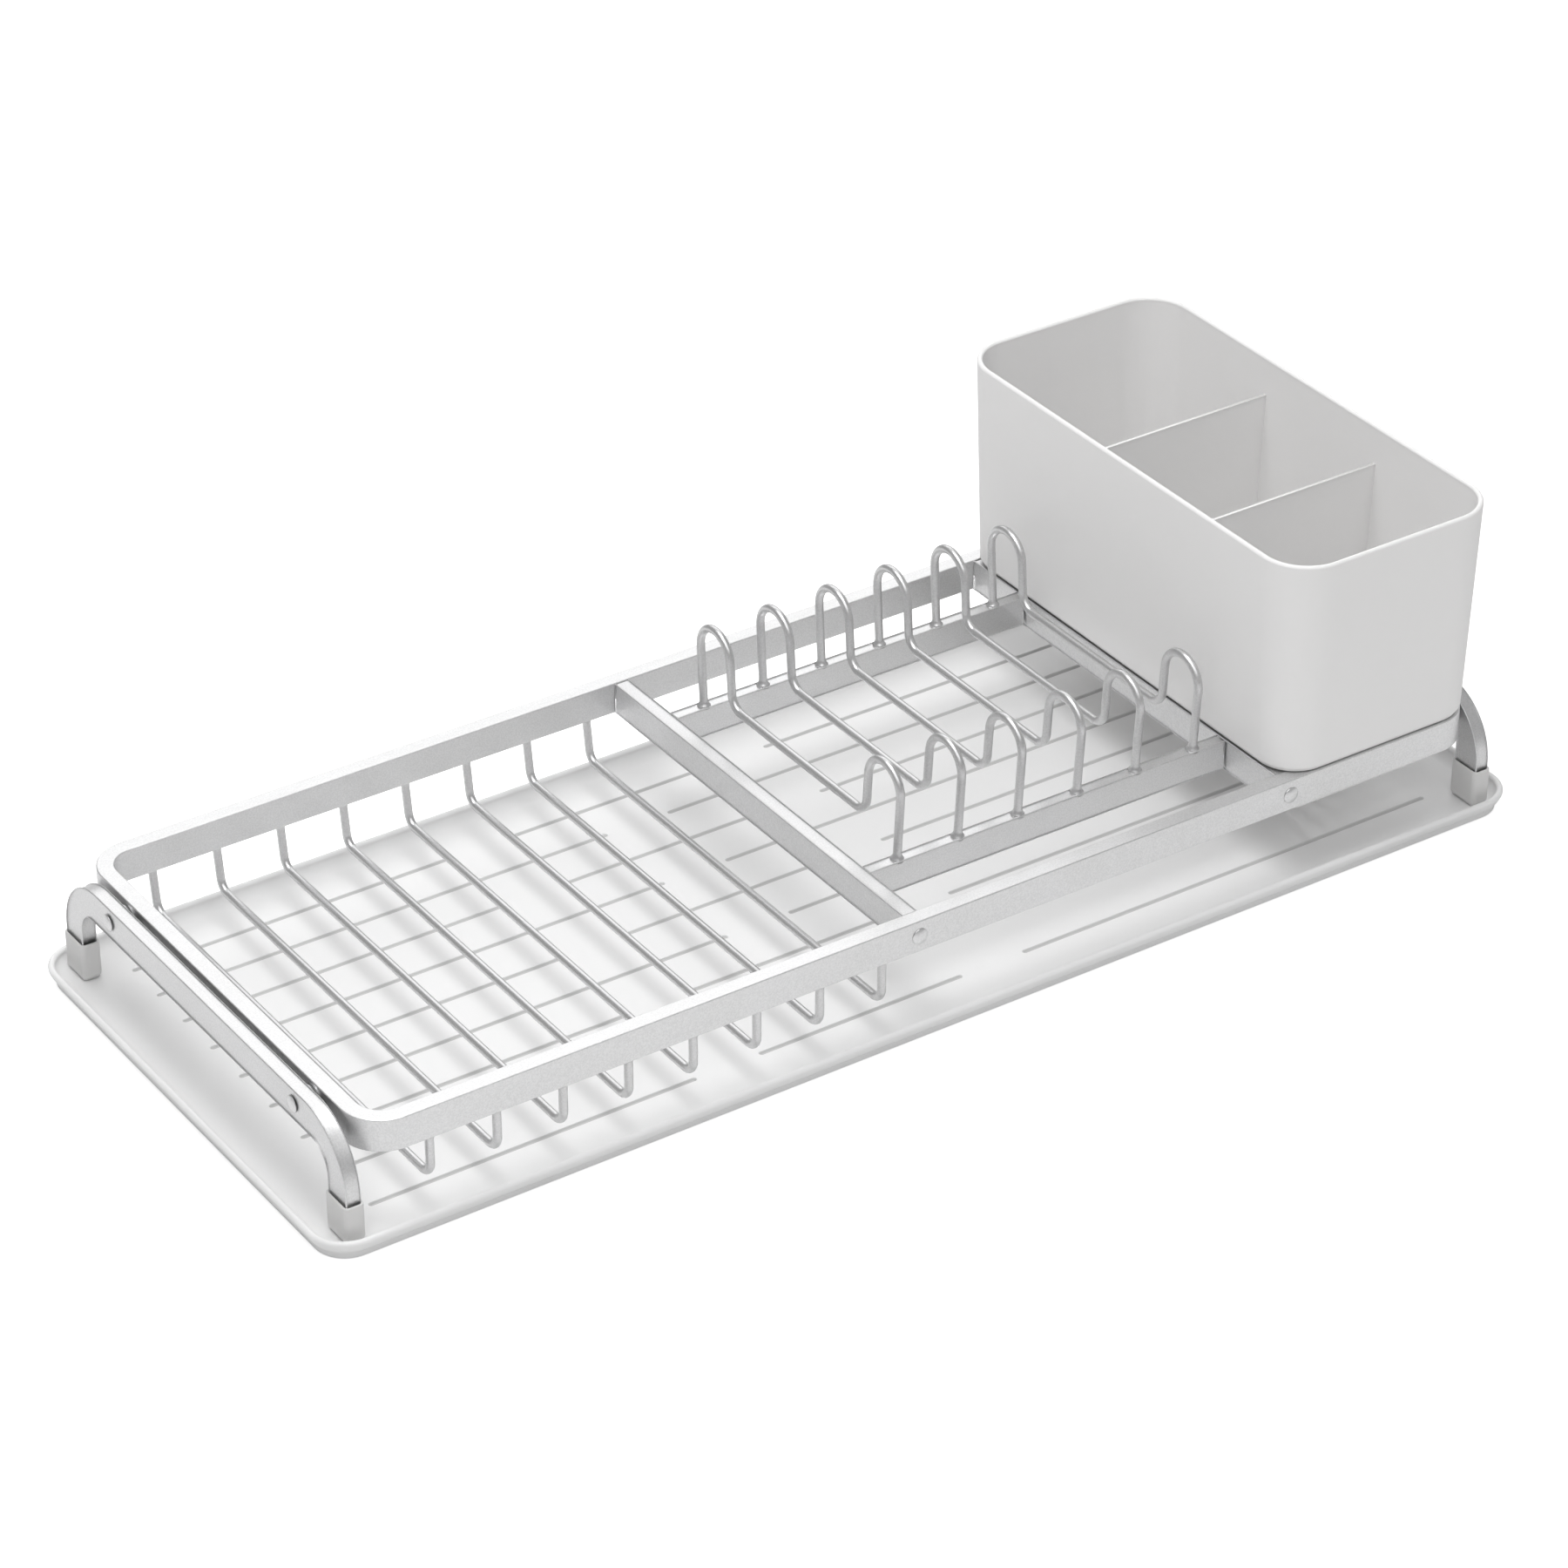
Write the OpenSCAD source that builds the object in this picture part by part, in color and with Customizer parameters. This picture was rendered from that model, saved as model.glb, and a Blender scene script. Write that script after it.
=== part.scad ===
// Dish drying rack: a riveted flat-bar rack with plate and bowl wires, a lift-out
// cutlery caddy and a drip tray that the rack stands in.
// Origin: centre of the drip tray's footprint, on the surface that the tray stands on.
// X runs along the rack, Y from front to rear, Z up.

/* [Drip tray] */
// length of the tray over its lip
tray_length = 480; // [478:1:500]
// width of the tray over its lip
tray_width = 199; // [198:1:210]
// depth of the drain grooves in the tray's floor
groove_depth = 1; // [0.4:0.1:1.2]
// width of one drain groove
groove_width = 1.9; // [1:0.1:2.5]
// number of rows of drain grooves
groove_rows = 9; // [3:2:11]
// distance of the middle row behind the middle of the tray, as the rows close up to the rear
groove_shift = 5; // [0:0.5:6]

/* [Frame] */
// outer length of the frame loop
frame_length = 445; // [430:1:446]
// outer width of the frame loop
frame_width = 187.5; // [180:0.5:190]
// height of the frame's top edge above the table
frame_top = 44; // [42:1:60]
// height of the flat bar that stands on edge
bar_height = 12; // [10:1:16]
// thickness of the flat bar
bar_thickness = 6; // [5:0.5:8]
// outer radius of the frame's corners
frame_corner = 15; // [12:1:20]
// middle crossbar, its centre along X
middle_bar_x = -13.5; // [-30:0.5:0]
// right crossbar, its centre along X
right_bar_x = 140.5; // [138:0.5:145]

/* [Legs and feet] */
// thickness of a leg
leg_thickness = 5.5; // [4:0.5:7]
// gap between a leg and the frame, which the spacers fill
leg_gap = 1.8; // [1.5:0.1:3]
// width of a leg's post where it enters the foot
leg_post = 11.5; // [10:0.5:13]
// overall span of a leg from front to rear
leg_span = 186.5; // [180:0.5:187]
// radius of a leg's outer shoulder
leg_shoulder = 24; // [20:1:26]
// radius inside a leg's bend
leg_inner = 9; // [6:1:12]
// height of a foot
foot_height = 14.1; // [12:0.1:18]
// diameter of a spacer
spacer_diameter = 9; // [7:0.5:11]
// distance of the leg rivets from the middle of the rack
leg_rivet_y = 61; // [50:1:65]

/* [Rivets] */
// shank diameter of the rivets
rivet_shank = 3; // [2.5:0.5:4]
// head diameter of the rivets
rivet_head = 6; // [5:0.5:8]
// height of a rivet's domed head
rivet_dome = 1; // [0.6:0.1:1.5]

/* [Plate rest] */
// distance of each plate strip from the middle of the rack
strip_y = 58.5; // [50:0.5:65]
// thickness of a plate strip
strip_thickness = 5; // [4:0.5:6]
// height of a plate strip
strip_height = 11.5; // [9:0.5:12]
// number of plate wires
plate_wire_count = 6; // [3:1:7]
// diameter of the wires
wire_diameter = 3; // [2.5:0.5:4]
// height of a plate wire's hoops above the strips, to the wire's centre
hoop_height = 33.4; // [28:0.2:40]
// radius of a plate wire's hoops, to the wire's centre
hoop_radius = 9.3; // [7:0.1:11]
// outward lean of the hoops in degrees
hoop_lean = 4; // [0:1:8]
// height of a plate wire's low run above the strips, to the wire's centre
plate_run_height = 8; // [4:0.5:12]

/* [Bowl rest] */
// number of bowl wires
bowl_wire_count = 8; // [4:1:8]
// first bowl wire, its place along X
bowl_wire_start = -198; // [-202:0.5:-190]
// spacing of the bowl wires
bowl_wire_pitch = 24.5; // [20:0.5:25]
// height of a bowl wire's low run above the table, to the wire's centre
bowl_run_height = 15.5; // [12:0.5:20]
// forward lean of the rear drops in degrees
bowl_drop_lean = 8; // [0:1:12]
// bend radius of the bowl wires, to the wire's centre
bowl_bend = 5; // [4:0.5:6]

/* [Cutlery caddy] */
// height of the caddy's rim above the table
caddy_top = 126.3; // [110:0.1:150]
// thickness of the caddy's walls
caddy_wall = 2; // [1.6:0.1:3]
// outward draft of the caddy's walls over their height
caddy_draft = 2.6; // [1:0.1:3]
// height of the shadow gap between caddy and frame
caddy_seam = 1.5; // [1:0.1:3]
// underside of the caddy's well above the table
well_bottom = 24.8; // [22:0.1:30]
// thickness of the dividers
divider_thickness = 1.5; // [1.2:0.1:2]
// distance of the dividers' top edge below the rim
divider_drop = 14; // [5:1:30]
// diameter of the drain holes in the caddy's floor
drain_hole = 5; // [3:0.5:6]

/* [Node] */
// name of the node to draw, or all

/* [Hidden] */
$fn = 96;

// clearance under a piece that rests on another and lifts off it
rest_gap = 0.3;
// overshoot of a cutting body past the face it opens
over = 1;

// tray section, measured outward from the corner's centre line and up from the table
lip_radius = 1.2;
lip_outer = 14;
tray_floor_top = 3;
tray_sheet = 2;
wall_curve_radius = 4.4;
wall_curve_angle = 80;
wall_curve_x = lip_outer - lip_radius - (wall_curve_radius + tray_sheet / 2) * sin(wall_curve_angle);
base_rim_in = 8.5;
base_rim_out = 11.5;
base_rim_top = 2;

// drain grooves
groove_margin = 21;
groove_pitch = (tray_width - 2 * groove_margin) / (groove_rows - 1);
groove_end = 213;
groove_gap_odd_left = [-92, -65.5];
groove_gap_odd_right = [14, 41];
groove_gap_even = [-38, -11];

// frame
frame_floor = frame_top - bar_height;
frame_inner_length = frame_length - 2 * bar_thickness;
frame_inner_width = frame_width - 2 * bar_thickness;
frame_inner_corner = frame_corner - bar_thickness;
rivet_clearance = 0.1;
rivet_hole = rivet_shank + 2 * rivet_clearance;
wire_clearance = 0.1;
rivet_bite = 4;
wire_bite = 4;
bar_middle = frame_top - bar_height / 2;

// legs and feet
leg_inner_face = frame_length / 2 + leg_gap;
foot_floor = tray_floor_top + rest_gap;
foot_top = foot_floor + foot_height;
foot_wall = 0.95;
foot_plug = 6;
plug_clearance = 0.15;
foot_edge = 2;
sole_height = 0.8;
sole_inset = 0.6;
post_middle_y = (leg_span - leg_post) / 2;

// plate rest
strip_start = middle_bar_x + bar_thickness / 2;
strip_end = right_bar_x - bar_thickness / 2;
plate_pitch = (strip_end - strip_start) / plate_wire_count;
wire_radius = wire_diameter / 2;
weld_radius = wire_radius + 0.9;
weld_height = 1.8;
joint_swell = 0.02;
plate_bend = 6;
// the hoop's outer side, measured along its lean from the strip to the start of the loop
hoop_rise = (hoop_height - hoop_radius * (1 + sin(hoop_lean))) / cos(hoop_lean);
// the hoop's inner side, measured along its lean from the loop to the lower bend
hoop_drop = hoop_rise - (plate_run_height + plate_bend * (1 - sin(hoop_lean))
    - 2 * hoop_radius * sin(hoop_lean)) / cos(hoop_lean);
// where the low run ends, measured from the middle of the rack
plate_run_end = strip_y + (hoop_rise - hoop_drop) * sin(hoop_lean)
    - (2 * hoop_radius + plate_bend) * cos(hoop_lean);

// bowl rest
bowl_end_y = (frame_width - bar_thickness) / 2;
// the rear drop, measured along its lean from the rail to the bend
bowl_drop = (frame_floor - bowl_run_height - bowl_bend * (1 - sin(bowl_drop_lean))) / cos(bowl_drop_lean);
bowl_run_rear = bowl_end_y - bowl_drop * sin(bowl_drop_lean) - bowl_bend * cos(bowl_drop_lean);

// caddy
caddy_left = strip_end;
caddy_right = frame_length / 2;
caddy_middle_x = (caddy_left + caddy_right) / 2;
caddy_length = caddy_right - caddy_left;
caddy_foot = frame_top + rest_gap;
caddy_base = frame_top + caddy_seam;
seam_inset = 0.9;
rim_radius = 1.3;
well_gap = 1;
well_draft = 0.8;
drain_pitch = 8;
drain_columns = 7;
drain_rows = 6;
drain_field_y = 55.2;
divider_y = (frame_width - 2 * caddy_wall) / 6;

plate_names = [for (i = [1 : plate_wire_count]) str("plate_wire_", i)];
bowl_names = [for (i = [1 : bowl_wire_count]) str("bowl_wire_", i)];
fixed_names = [
    "drip_tray", "frame_loop", "left_leg", "right_leg",
    "front_left_foot", "rear_left_foot", "front_right_foot", "rear_right_foot",
    "leg_spacers", "leg_rivets", "middle_crossbar", "right_crossbar", "crossbar_rivets",
    "front_plate_strip", "rear_plate_strip", "cutlery_caddy"
];

aluminium = [0.80, 0.80, 0.81];
aluminium_wire = [0.76, 0.76, 0.77];
tray_plastic = [0.93, 0.93, 0.93];
caddy_plastic = [0.82, 0.82, 0.81];
foot_plastic = [0.74, 0.73, 0.71];

// a flat rounded rectangle
module rounded_rectangle(length, width, corner) {
    square([length - 2 * corner, width], center = true);
    square([length, width - 2 * corner], center = true);
    for (sx = [-1, 1], sy = [-1, 1])
        translate([sx * (length / 2 - corner), sy * (width / 2 - corner)])
            circle(r = corner);
}

// carries a section, drawn outward from the corner's centre line, round a rectangle
module sweep_round(length, width, corner) {
    run_x = length - 2 * corner;
    run_y = width - 2 * corner;
    for (turn = [0, 180])
        rotate([0, 0, turn]) {
            translate([run_x / 2, run_y / 2, 0])
                rotate([90, 0, 0])
                    linear_extrude(height = run_y)
                        children();
            translate([-run_x / 2, run_y / 2, 0])
                rotate([90, 0, 90])
                    linear_extrude(height = run_x)
                        children();
            translate([run_x / 2, run_y / 2, 0])
                rotate_extrude(angle = 90)
                    children();
            translate([-run_x / 2, run_y / 2, 0])
                rotate([0, 0, 90])
                    rotate_extrude(angle = 90)
                        children();
        }
}

// the tray's floor edge, curved wall, rounded lip and foot rim
module tray_section() {
    centre_z = tray_floor_top + wall_curve_radius;
    reach = wall_curve_radius + tray_sheet;
    translate([0, tray_floor_top - tray_sheet])
        square([wall_curve_x, tray_sheet]);
    translate([wall_curve_x, centre_z]) {
        intersection() {
            difference() {
                circle(r = reach);
                circle(r = wall_curve_radius);
            }
            polygon([
                [0, 0],
                [0, -2 * reach],
                [2 * reach, -2 * reach],
                [2 * reach * sin(wall_curve_angle), -2 * reach * cos(wall_curve_angle)]
            ]);
        }
        rotate([0, 0, wall_curve_angle - 90])
            translate([wall_curve_radius + tray_sheet / 2, 0])
                circle(r = lip_radius);
    }
    translate([base_rim_in, 0])
        square([base_rim_out - base_rim_in, base_rim_top]);
}

// one straight drain groove with round ends
module groove(start_x, end_x, y) {
    floor_z = tray_floor_top - groove_depth;
    translate([start_x, y - groove_width / 2, floor_z])
        cube([end_x - start_x, groove_width, groove_depth + over]);
    for (x = [start_x, end_x])
        translate([x, y, floor_z])
            cylinder(d = groove_width, h = groove_depth + over);
}

// where a row of grooves lies, as the rows close up to the rear
function groove_y(row) =
    let (middle = (groove_rows - 1) / 2, offset = row - middle)
    offset * groove_pitch + groove_shift * (1 - pow(offset / middle, 2));

// one row of grooves, broken by one gap or two
module groove_row(row) {
    y = groove_y(row);
    if (row % 2 == 0) {
        groove(-groove_end, groove_gap_odd_left[0], y);
        groove(groove_gap_odd_left[1], groove_gap_odd_right[0], y);
        groove(groove_gap_odd_right[1], groove_end, y);
    } else {
        groove(-groove_end, groove_gap_even[0], y);
        groove(groove_gap_even[1], groove_end, y);
    }
}

module drip_tray() {
    floor_length = tray_length - 2 * lip_outer;
    floor_width = tray_width - 2 * lip_outer;
    color(tray_plastic)
        difference() {
            union() {
                sweep_round(tray_length, tray_width, lip_outer)
                    tray_section();
                translate([-floor_length / 2, -floor_width / 2, tray_floor_top - tray_sheet])
                    cube([floor_length, floor_width, tray_sheet]);
            }
            for (row = [0 : groove_rows - 1])
                groove_row(row);
        }
}

// holes along Y through both long rails for the crossbar rivets
module crossbar_rivet_holes() {
    for (x = [middle_bar_x, right_bar_x], side = [-1, 1])
        translate([x, side * (frame_width - bar_thickness) / 2, bar_middle])
            rotate([90, 0, 0])
                cylinder(d = rivet_hole, h = bar_thickness + 2 * over, center = true);
}

// blind holes along X in both ends of the frame for the leg rivets
module leg_rivet_holes() {
    for (end = [-1, 1], y = [-leg_rivet_y, leg_rivet_y])
        translate([end * (frame_length / 2 - rivet_bite / 2 + over / 2), y, bar_middle])
            rotate([0, 90, 0])
                cylinder(d = rivet_hole, h = rivet_bite + over, center = true);
}

// blind holes up into the long rails for the ends of the bowl wires
module bowl_wire_holes() {
    radius = wire_radius + wire_clearance;
    for (i = [0 : bowl_wire_count - 1], side = [-1, 1])
        translate([bowl_wire_start + i * bowl_wire_pitch, side * bowl_end_y, frame_floor])
            rotate([side > 0 ? -bowl_drop_lean : 0, 0, 0])
                translate([0, 0, -over])
                    cylinder(r = radius, h = over + wire_bite + wire_clearance);
}

module frame_loop() {
    color(aluminium)
        difference() {
            translate([0, 0, frame_floor])
                linear_extrude(height = bar_height)
                    difference() {
                        rounded_rectangle(frame_length, frame_width, frame_corner);
                        rounded_rectangle(frame_inner_length, frame_inner_width, frame_inner_corner);
                    }
            crossbar_rivet_holes();
            leg_rivet_holes();
            bowl_wire_holes();
        }
}

// a leg's outline in the Y-Z plane: a straight top, round shoulders and two short posts
module leg_outline() {
    post_bottom = foot_top - foot_plug;
    inner_span = leg_span - 2 * leg_post;
    difference() {
        union() {
            translate([-leg_span / 2 + leg_shoulder, post_bottom])
                square([leg_span - 2 * leg_shoulder, frame_top - post_bottom]);
            translate([-leg_span / 2, post_bottom])
                square([leg_span, frame_top - leg_shoulder - post_bottom]);
            for (side = [-1, 1])
                translate([side * (leg_span / 2 - leg_shoulder), frame_top - leg_shoulder])
                    circle(r = leg_shoulder);
        }
        translate([-inner_span / 2 + leg_inner, post_bottom - over])
            square([inner_span - 2 * leg_inner, frame_floor - post_bottom + over]);
        translate([-inner_span / 2, post_bottom - over])
            square([inner_span, frame_floor - leg_inner - post_bottom + over]);
        for (side = [-1, 1])
            translate([side * (inner_span / 2 - leg_inner), frame_floor - leg_inner])
                circle(r = leg_inner);
        translate([-leg_span, post_bottom - leg_shoulder])
            square([2 * leg_span, leg_shoulder]);
    }
}

// one arched leg; side is -1 for the left end and 1 for the right end
module leg(side) {
    face = side > 0 ? leg_inner_face : -leg_inner_face - leg_thickness;
    color(aluminium)
        difference() {
            translate([face, 0, 0])
                rotate([90, 0, 90])
                    linear_extrude(height = leg_thickness)
                        leg_outline();
            for (y = [-leg_rivet_y, leg_rivet_y])
                translate([face - over, y, bar_middle])
                    rotate([0, 90, 0])
                        cylinder(d = rivet_hole, h = leg_thickness + 2 * over);
        }
}

// one foot with a socket for the leg's end
module foot(side_x, side_y) {
    middle_x = side_x * (leg_inner_face + leg_thickness / 2);
    middle_y = side_y * post_middle_y;
    size = [leg_thickness + 2 * foot_wall, leg_post + 2 * foot_wall];
    trim = 2 * sole_inset;
    socket = [leg_thickness + 2 * plug_clearance, leg_post + 2 * plug_clearance];
    color(foot_plastic)
        translate([middle_x, middle_y, foot_floor])
            difference() {
                union() {
                    linear_extrude(height = sole_height)
                        rounded_rectangle(size[0] - trim, size[1] - trim, foot_edge - sole_inset);
                    translate([0, 0, sole_height])
                        linear_extrude(height = foot_height - sole_height)
                            rounded_rectangle(size[0], size[1], foot_edge);
                }
                translate([-socket[0] / 2, -socket[1] / 2, foot_height - foot_plug])
                    cube([socket[0], socket[1], foot_plug + over]);
            }
}

module leg_spacers() {
    color(aluminium)
        for (end = [-1, 1], y = [-leg_rivet_y, leg_rivet_y])
            translate([end * (frame_length + leg_gap) / 2, y, bar_middle])
                rotate([0, 90, 0])
                    difference() {
                        cylinder(d = spacer_diameter, h = leg_gap, center = true);
                        cylinder(d = rivet_hole, h = leg_gap + 2 * over, center = true);
                    }
}

// a rivet along Z: a shallow dome that sits on the plane z = 0, with its shank below
module rivet(shank_length) {
    dome_radius = (pow(rivet_head / 2, 2) + pow(rivet_dome, 2)) / (2 * rivet_dome);
    intersection() {
        translate([0, 0, rivet_dome - dome_radius])
            sphere(r = dome_radius);
        cylinder(d = rivet_head + over, h = rivet_dome + over);
    }
    translate([0, 0, -shank_length])
        cylinder(d = rivet_shank, h = shank_length);
}

module leg_rivets() {
    shank = leg_thickness + leg_gap + rivet_bite - rivet_clearance;
    color(aluminium)
        for (end = [-1, 1], y = [-leg_rivet_y, leg_rivet_y])
            translate([end * (leg_inner_face + leg_thickness), y, bar_middle])
                rotate([0, end * 90, 0])
                    rivet(shank);
}

module crossbar_rivets() {
    shank = bar_thickness + rivet_bite - rivet_clearance;
    color(aluminium)
        for (x = [middle_bar_x, right_bar_x], side = [-1, 1])
            translate([x, side * frame_width / 2, bar_middle])
                rotate([-side * 90, 0, 0])
                    rivet(shank);
}

// a flat bar on edge between the long rails, centred on x
module crossbar(x) {
    color(aluminium)
        difference() {
            translate([x - bar_thickness / 2, -frame_inner_width / 2, frame_floor])
                cube([bar_thickness, frame_inner_width, bar_height]);
            for (side = [-1, 1])
                translate([x, side * (frame_inner_width / 2 - rivet_bite / 2 + over / 2), bar_middle])
                    rotate([90, 0, 0])
                        cylinder(d = rivet_hole, h = rivet_bite + over, center = true);
        }
}

// a flat bar on edge between the two crossbars; side is -1 for the front and 1 for the rear
module plate_strip(side) {
    radius = wire_radius + wire_clearance;
    color(aluminium)
        difference() {
            translate([strip_start, side * strip_y - strip_thickness / 2, frame_top - strip_height])
                cube([strip_end - strip_start, strip_thickness, strip_height]);
            for (i = [1 : plate_wire_count])
                translate([strip_start + (i - 0.5) * plate_pitch, side * strip_y, frame_top])
                    rotate([-side * hoop_lean, 0, 0])
                        translate([0, 0, -wire_bite - wire_clearance])
                            cylinder(r = radius, h = wire_bite + wire_clearance + over);
        }
}

// a straight length of wire up from the origin
module wire_up(length) {
    cylinder(r = wire_radius, h = length);
}

// a bend in the Y-Z plane that leaves the origin upward and turns toward -Y
module wire_bend(bend_radius, turn) {
    translate([0, -bend_radius, 0])
        rotate([90, 0, 90])
            rotate_extrude(angle = turn)
                translate([bend_radius, 0])
                    circle(r = wire_radius, $fn = 48);
}

// a ball, a hair thicker than the wire, that makes two lengths of wire one where they meet
module wire_joint() {
    sphere(r = wire_radius + joint_swell);
}

// the small flare of a weld round a wire's end, wide at z = 0
module weld() {
    cylinder(r1 = weld_radius, r2 = wire_radius, h = weld_height);
}

// the rear half of a plate wire: its end in the strip, the hoop and the bend to the low run
module plate_wire_half() {
    translate([0, strip_y, 0]) {
        weld();
        rotate([-hoop_lean, 0, 0]) {
            translate([0, 0, -wire_bite])
                wire_up(hoop_rise + wire_bite);
            translate([0, 0, hoop_rise])
                wire_bend(hoop_radius, 180);
            translate([0, -2 * hoop_radius, hoop_rise - hoop_drop]) {
                wire_up(hoop_drop);
                mirror([0, 0, 1])
                    wire_bend(plate_bend, 90 - hoop_lean);
            }
        }
    }
}

// a whole plate wire; index runs from 1 at the middle crossbar
module plate_wire(index) {
    color(aluminium_wire)
        translate([strip_start + (index - 0.5) * plate_pitch, 0, frame_top]) {
            plate_wire_half();
            rotate([0, 0, 180])
                plate_wire_half();
            translate([0, plate_run_end, plate_run_height])
                rotate([90, 0, 0])
                    wire_up(2 * plate_run_end);
            for (side = [-1, 1])
                translate([0, side * plate_run_end, plate_run_height])
                    wire_joint();
        }
}

// a bowl wire hung under the two long rails; index runs from 1 at the left end
module bowl_wire(index) {
    color(aluminium_wire)
        translate([bowl_wire_start + (index - 1) * bowl_wire_pitch, 0, 0]) {
            translate([0, bowl_end_y, frame_floor]) {
                mirror([0, 0, 1])
                    weld();
                rotate([-bowl_drop_lean, 0, 0])
                    translate([0, 0, -bowl_drop]) {
                        wire_up(bowl_drop + wire_bite);
                        mirror([0, 0, 1])
                            wire_bend(bowl_bend, 90 - bowl_drop_lean);
                    }
            }
            translate([0, bowl_run_rear, bowl_run_height]) {
                wire_joint();
                rotate([90, 0, 0])
                    wire_up(bowl_run_rear + bowl_end_y - bowl_bend);
            }
            translate([0, -bowl_end_y, bowl_run_height + bowl_bend])
                rotate([0, 0, 180])
                    mirror([0, 0, 1])
                        wire_bend(bowl_bend, 90);
            translate([0, -bowl_end_y, bowl_run_height + bowl_bend])
                wire_up(frame_floor + wire_bite - bowl_run_height - bowl_bend);
            translate([0, -bowl_end_y, frame_floor])
                mirror([0, 0, 1])
                    weld();
        }
}

// the caddy's wall, rim, ledge and well, measured outward from the corner's centre line
module caddy_section() {
    top_out = frame_corner + caddy_draft;
    well_out = frame_corner - bar_thickness - well_gap;
    polygon([
        [frame_corner, caddy_base],
        [top_out, caddy_top - rim_radius],
        [top_out - caddy_wall, caddy_top - rim_radius],
        [frame_corner - caddy_wall, caddy_base + caddy_wall],
        [well_out - caddy_wall, caddy_base + caddy_wall],
        [well_out - caddy_wall - well_draft, well_bottom + caddy_wall],
        [0, well_bottom + caddy_wall],
        [0, well_bottom],
        [well_out - well_draft, well_bottom],
        [well_out, caddy_foot],
        [frame_corner - seam_inset, caddy_foot],
        [frame_corner - seam_inset, caddy_base]
    ]);
    translate([top_out - rim_radius, caddy_top - rim_radius])
        circle(r = rim_radius);
}

// one divider, its edges buried in the walls, the ledge and the well's floor
module divider(y) {
    bite = caddy_wall / 2;
    top = caddy_top - divider_drop;
    share = (top - caddy_base) / (caddy_top - caddy_base);
    half_top = caddy_length / 2 + caddy_draft * share - bite;
    half_base = caddy_length / 2 - bite;
    half_well = half_base - bar_thickness - well_gap;
    translate([caddy_middle_x, y + divider_thickness / 2, 0])
        rotate([90, 0, 0])
            linear_extrude(height = divider_thickness)
                polygon([
                    [-half_top, top],
                    [-half_base, caddy_base + bite],
                    [-half_well, caddy_base + bite],
                    [bite - half_well, well_bottom + bite],
                    [half_well - bite, well_bottom + bite],
                    [half_well, caddy_base + bite],
                    [half_base, caddy_base + bite],
                    [half_top, top]
                ]);
}

// the drain holes through the well's floor, one field of rows and columns in each compartment
module drain_holes() {
    for (field = [-1 : 1], row = [0 : drain_rows - 1], column = [0 : drain_columns - 1])
        translate([
            caddy_middle_x + (column - (drain_columns - 1) / 2) * drain_pitch,
            field * drain_field_y + (row - (drain_rows - 1) / 2) * drain_pitch,
            well_bottom - over
        ])
            cylinder(d = drain_hole, h = caddy_wall + 2 * over, $fn = 32);
}

module cutlery_caddy() {
    floor_length = caddy_length - 2 * frame_corner;
    floor_width = frame_width - 2 * frame_corner;
    color(caddy_plastic)
        difference() {
            union() {
                translate([caddy_middle_x, 0, 0]) {
                    sweep_round(caddy_length, frame_width, frame_corner)
                        caddy_section();
                    translate([-floor_length / 2, -floor_width / 2, well_bottom])
                        cube([floor_length, floor_width, caddy_wall]);
                }
                for (side = [-1, 1])
                    divider(side * divider_y);
            }
            drain_holes();
        }
}

drip_tray();
frame_loop();
leg(-1);  // left_leg
leg(1);  // right_leg
foot(-1, -1);  // front_left_foot
foot(-1, 1);  // rear_left_foot
foot(1, -1);  // front_right_foot
foot(1, 1);  // rear_right_foot
leg_spacers();
leg_rivets();
crossbar(middle_bar_x);  // middle_crossbar
crossbar(right_bar_x);  // right_crossbar
crossbar_rivets();
plate_strip(-1);  // front_plate_strip
plate_strip(1);  // rear_plate_strip
cutlery_caddy();
for (i = [1 : plate_wire_count])
    plate_wire(i);
for (i = [1 : bowl_wire_count])
    bowl_wire(i);
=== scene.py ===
"""Dish drying rack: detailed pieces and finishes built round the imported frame.

Shapes are drafted in millimetres and placed in metres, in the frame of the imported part: X along
the rack towards the caddy, Y from front to rear, Z up from the table.
"""

import logging
from dataclasses import dataclass, field
from enum import Enum
from math import cos, pi, radians, sin, sqrt
from typing import Iterable, Sequence

import bmesh
import bpy
from mathutils import Matrix, Vector
from mathutils.geometry import delaunay_2d_cdt


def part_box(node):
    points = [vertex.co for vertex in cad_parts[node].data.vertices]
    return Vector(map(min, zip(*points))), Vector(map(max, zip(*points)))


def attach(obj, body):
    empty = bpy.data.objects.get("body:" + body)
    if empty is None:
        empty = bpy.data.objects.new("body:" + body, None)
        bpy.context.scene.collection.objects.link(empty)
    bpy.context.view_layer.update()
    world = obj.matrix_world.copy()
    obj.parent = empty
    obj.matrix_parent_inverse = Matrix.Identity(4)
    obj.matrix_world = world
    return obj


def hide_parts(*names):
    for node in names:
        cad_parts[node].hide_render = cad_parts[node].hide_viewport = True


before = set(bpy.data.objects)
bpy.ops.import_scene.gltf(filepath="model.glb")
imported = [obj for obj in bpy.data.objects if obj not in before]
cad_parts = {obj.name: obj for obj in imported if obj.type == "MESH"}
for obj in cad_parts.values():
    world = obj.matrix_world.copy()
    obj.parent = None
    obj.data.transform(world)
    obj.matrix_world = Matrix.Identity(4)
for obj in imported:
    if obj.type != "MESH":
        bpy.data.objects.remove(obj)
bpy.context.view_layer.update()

LOG = logging.getLogger("dish_rack")
MM = 0.001
PLATE_TOLERANCE = 1e-7
WELD_DISTANCE = 2e-6
SPECK = 1e-6
Ring = list[bmesh.types.BMVert]
Pair = tuple[float, float]
Point = tuple[float, float, float]
Material = bpy.types.Material
Node = bpy.types.Node
Socket = bpy.types.NodeSocket
Tree = bpy.types.NodeTree


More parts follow.
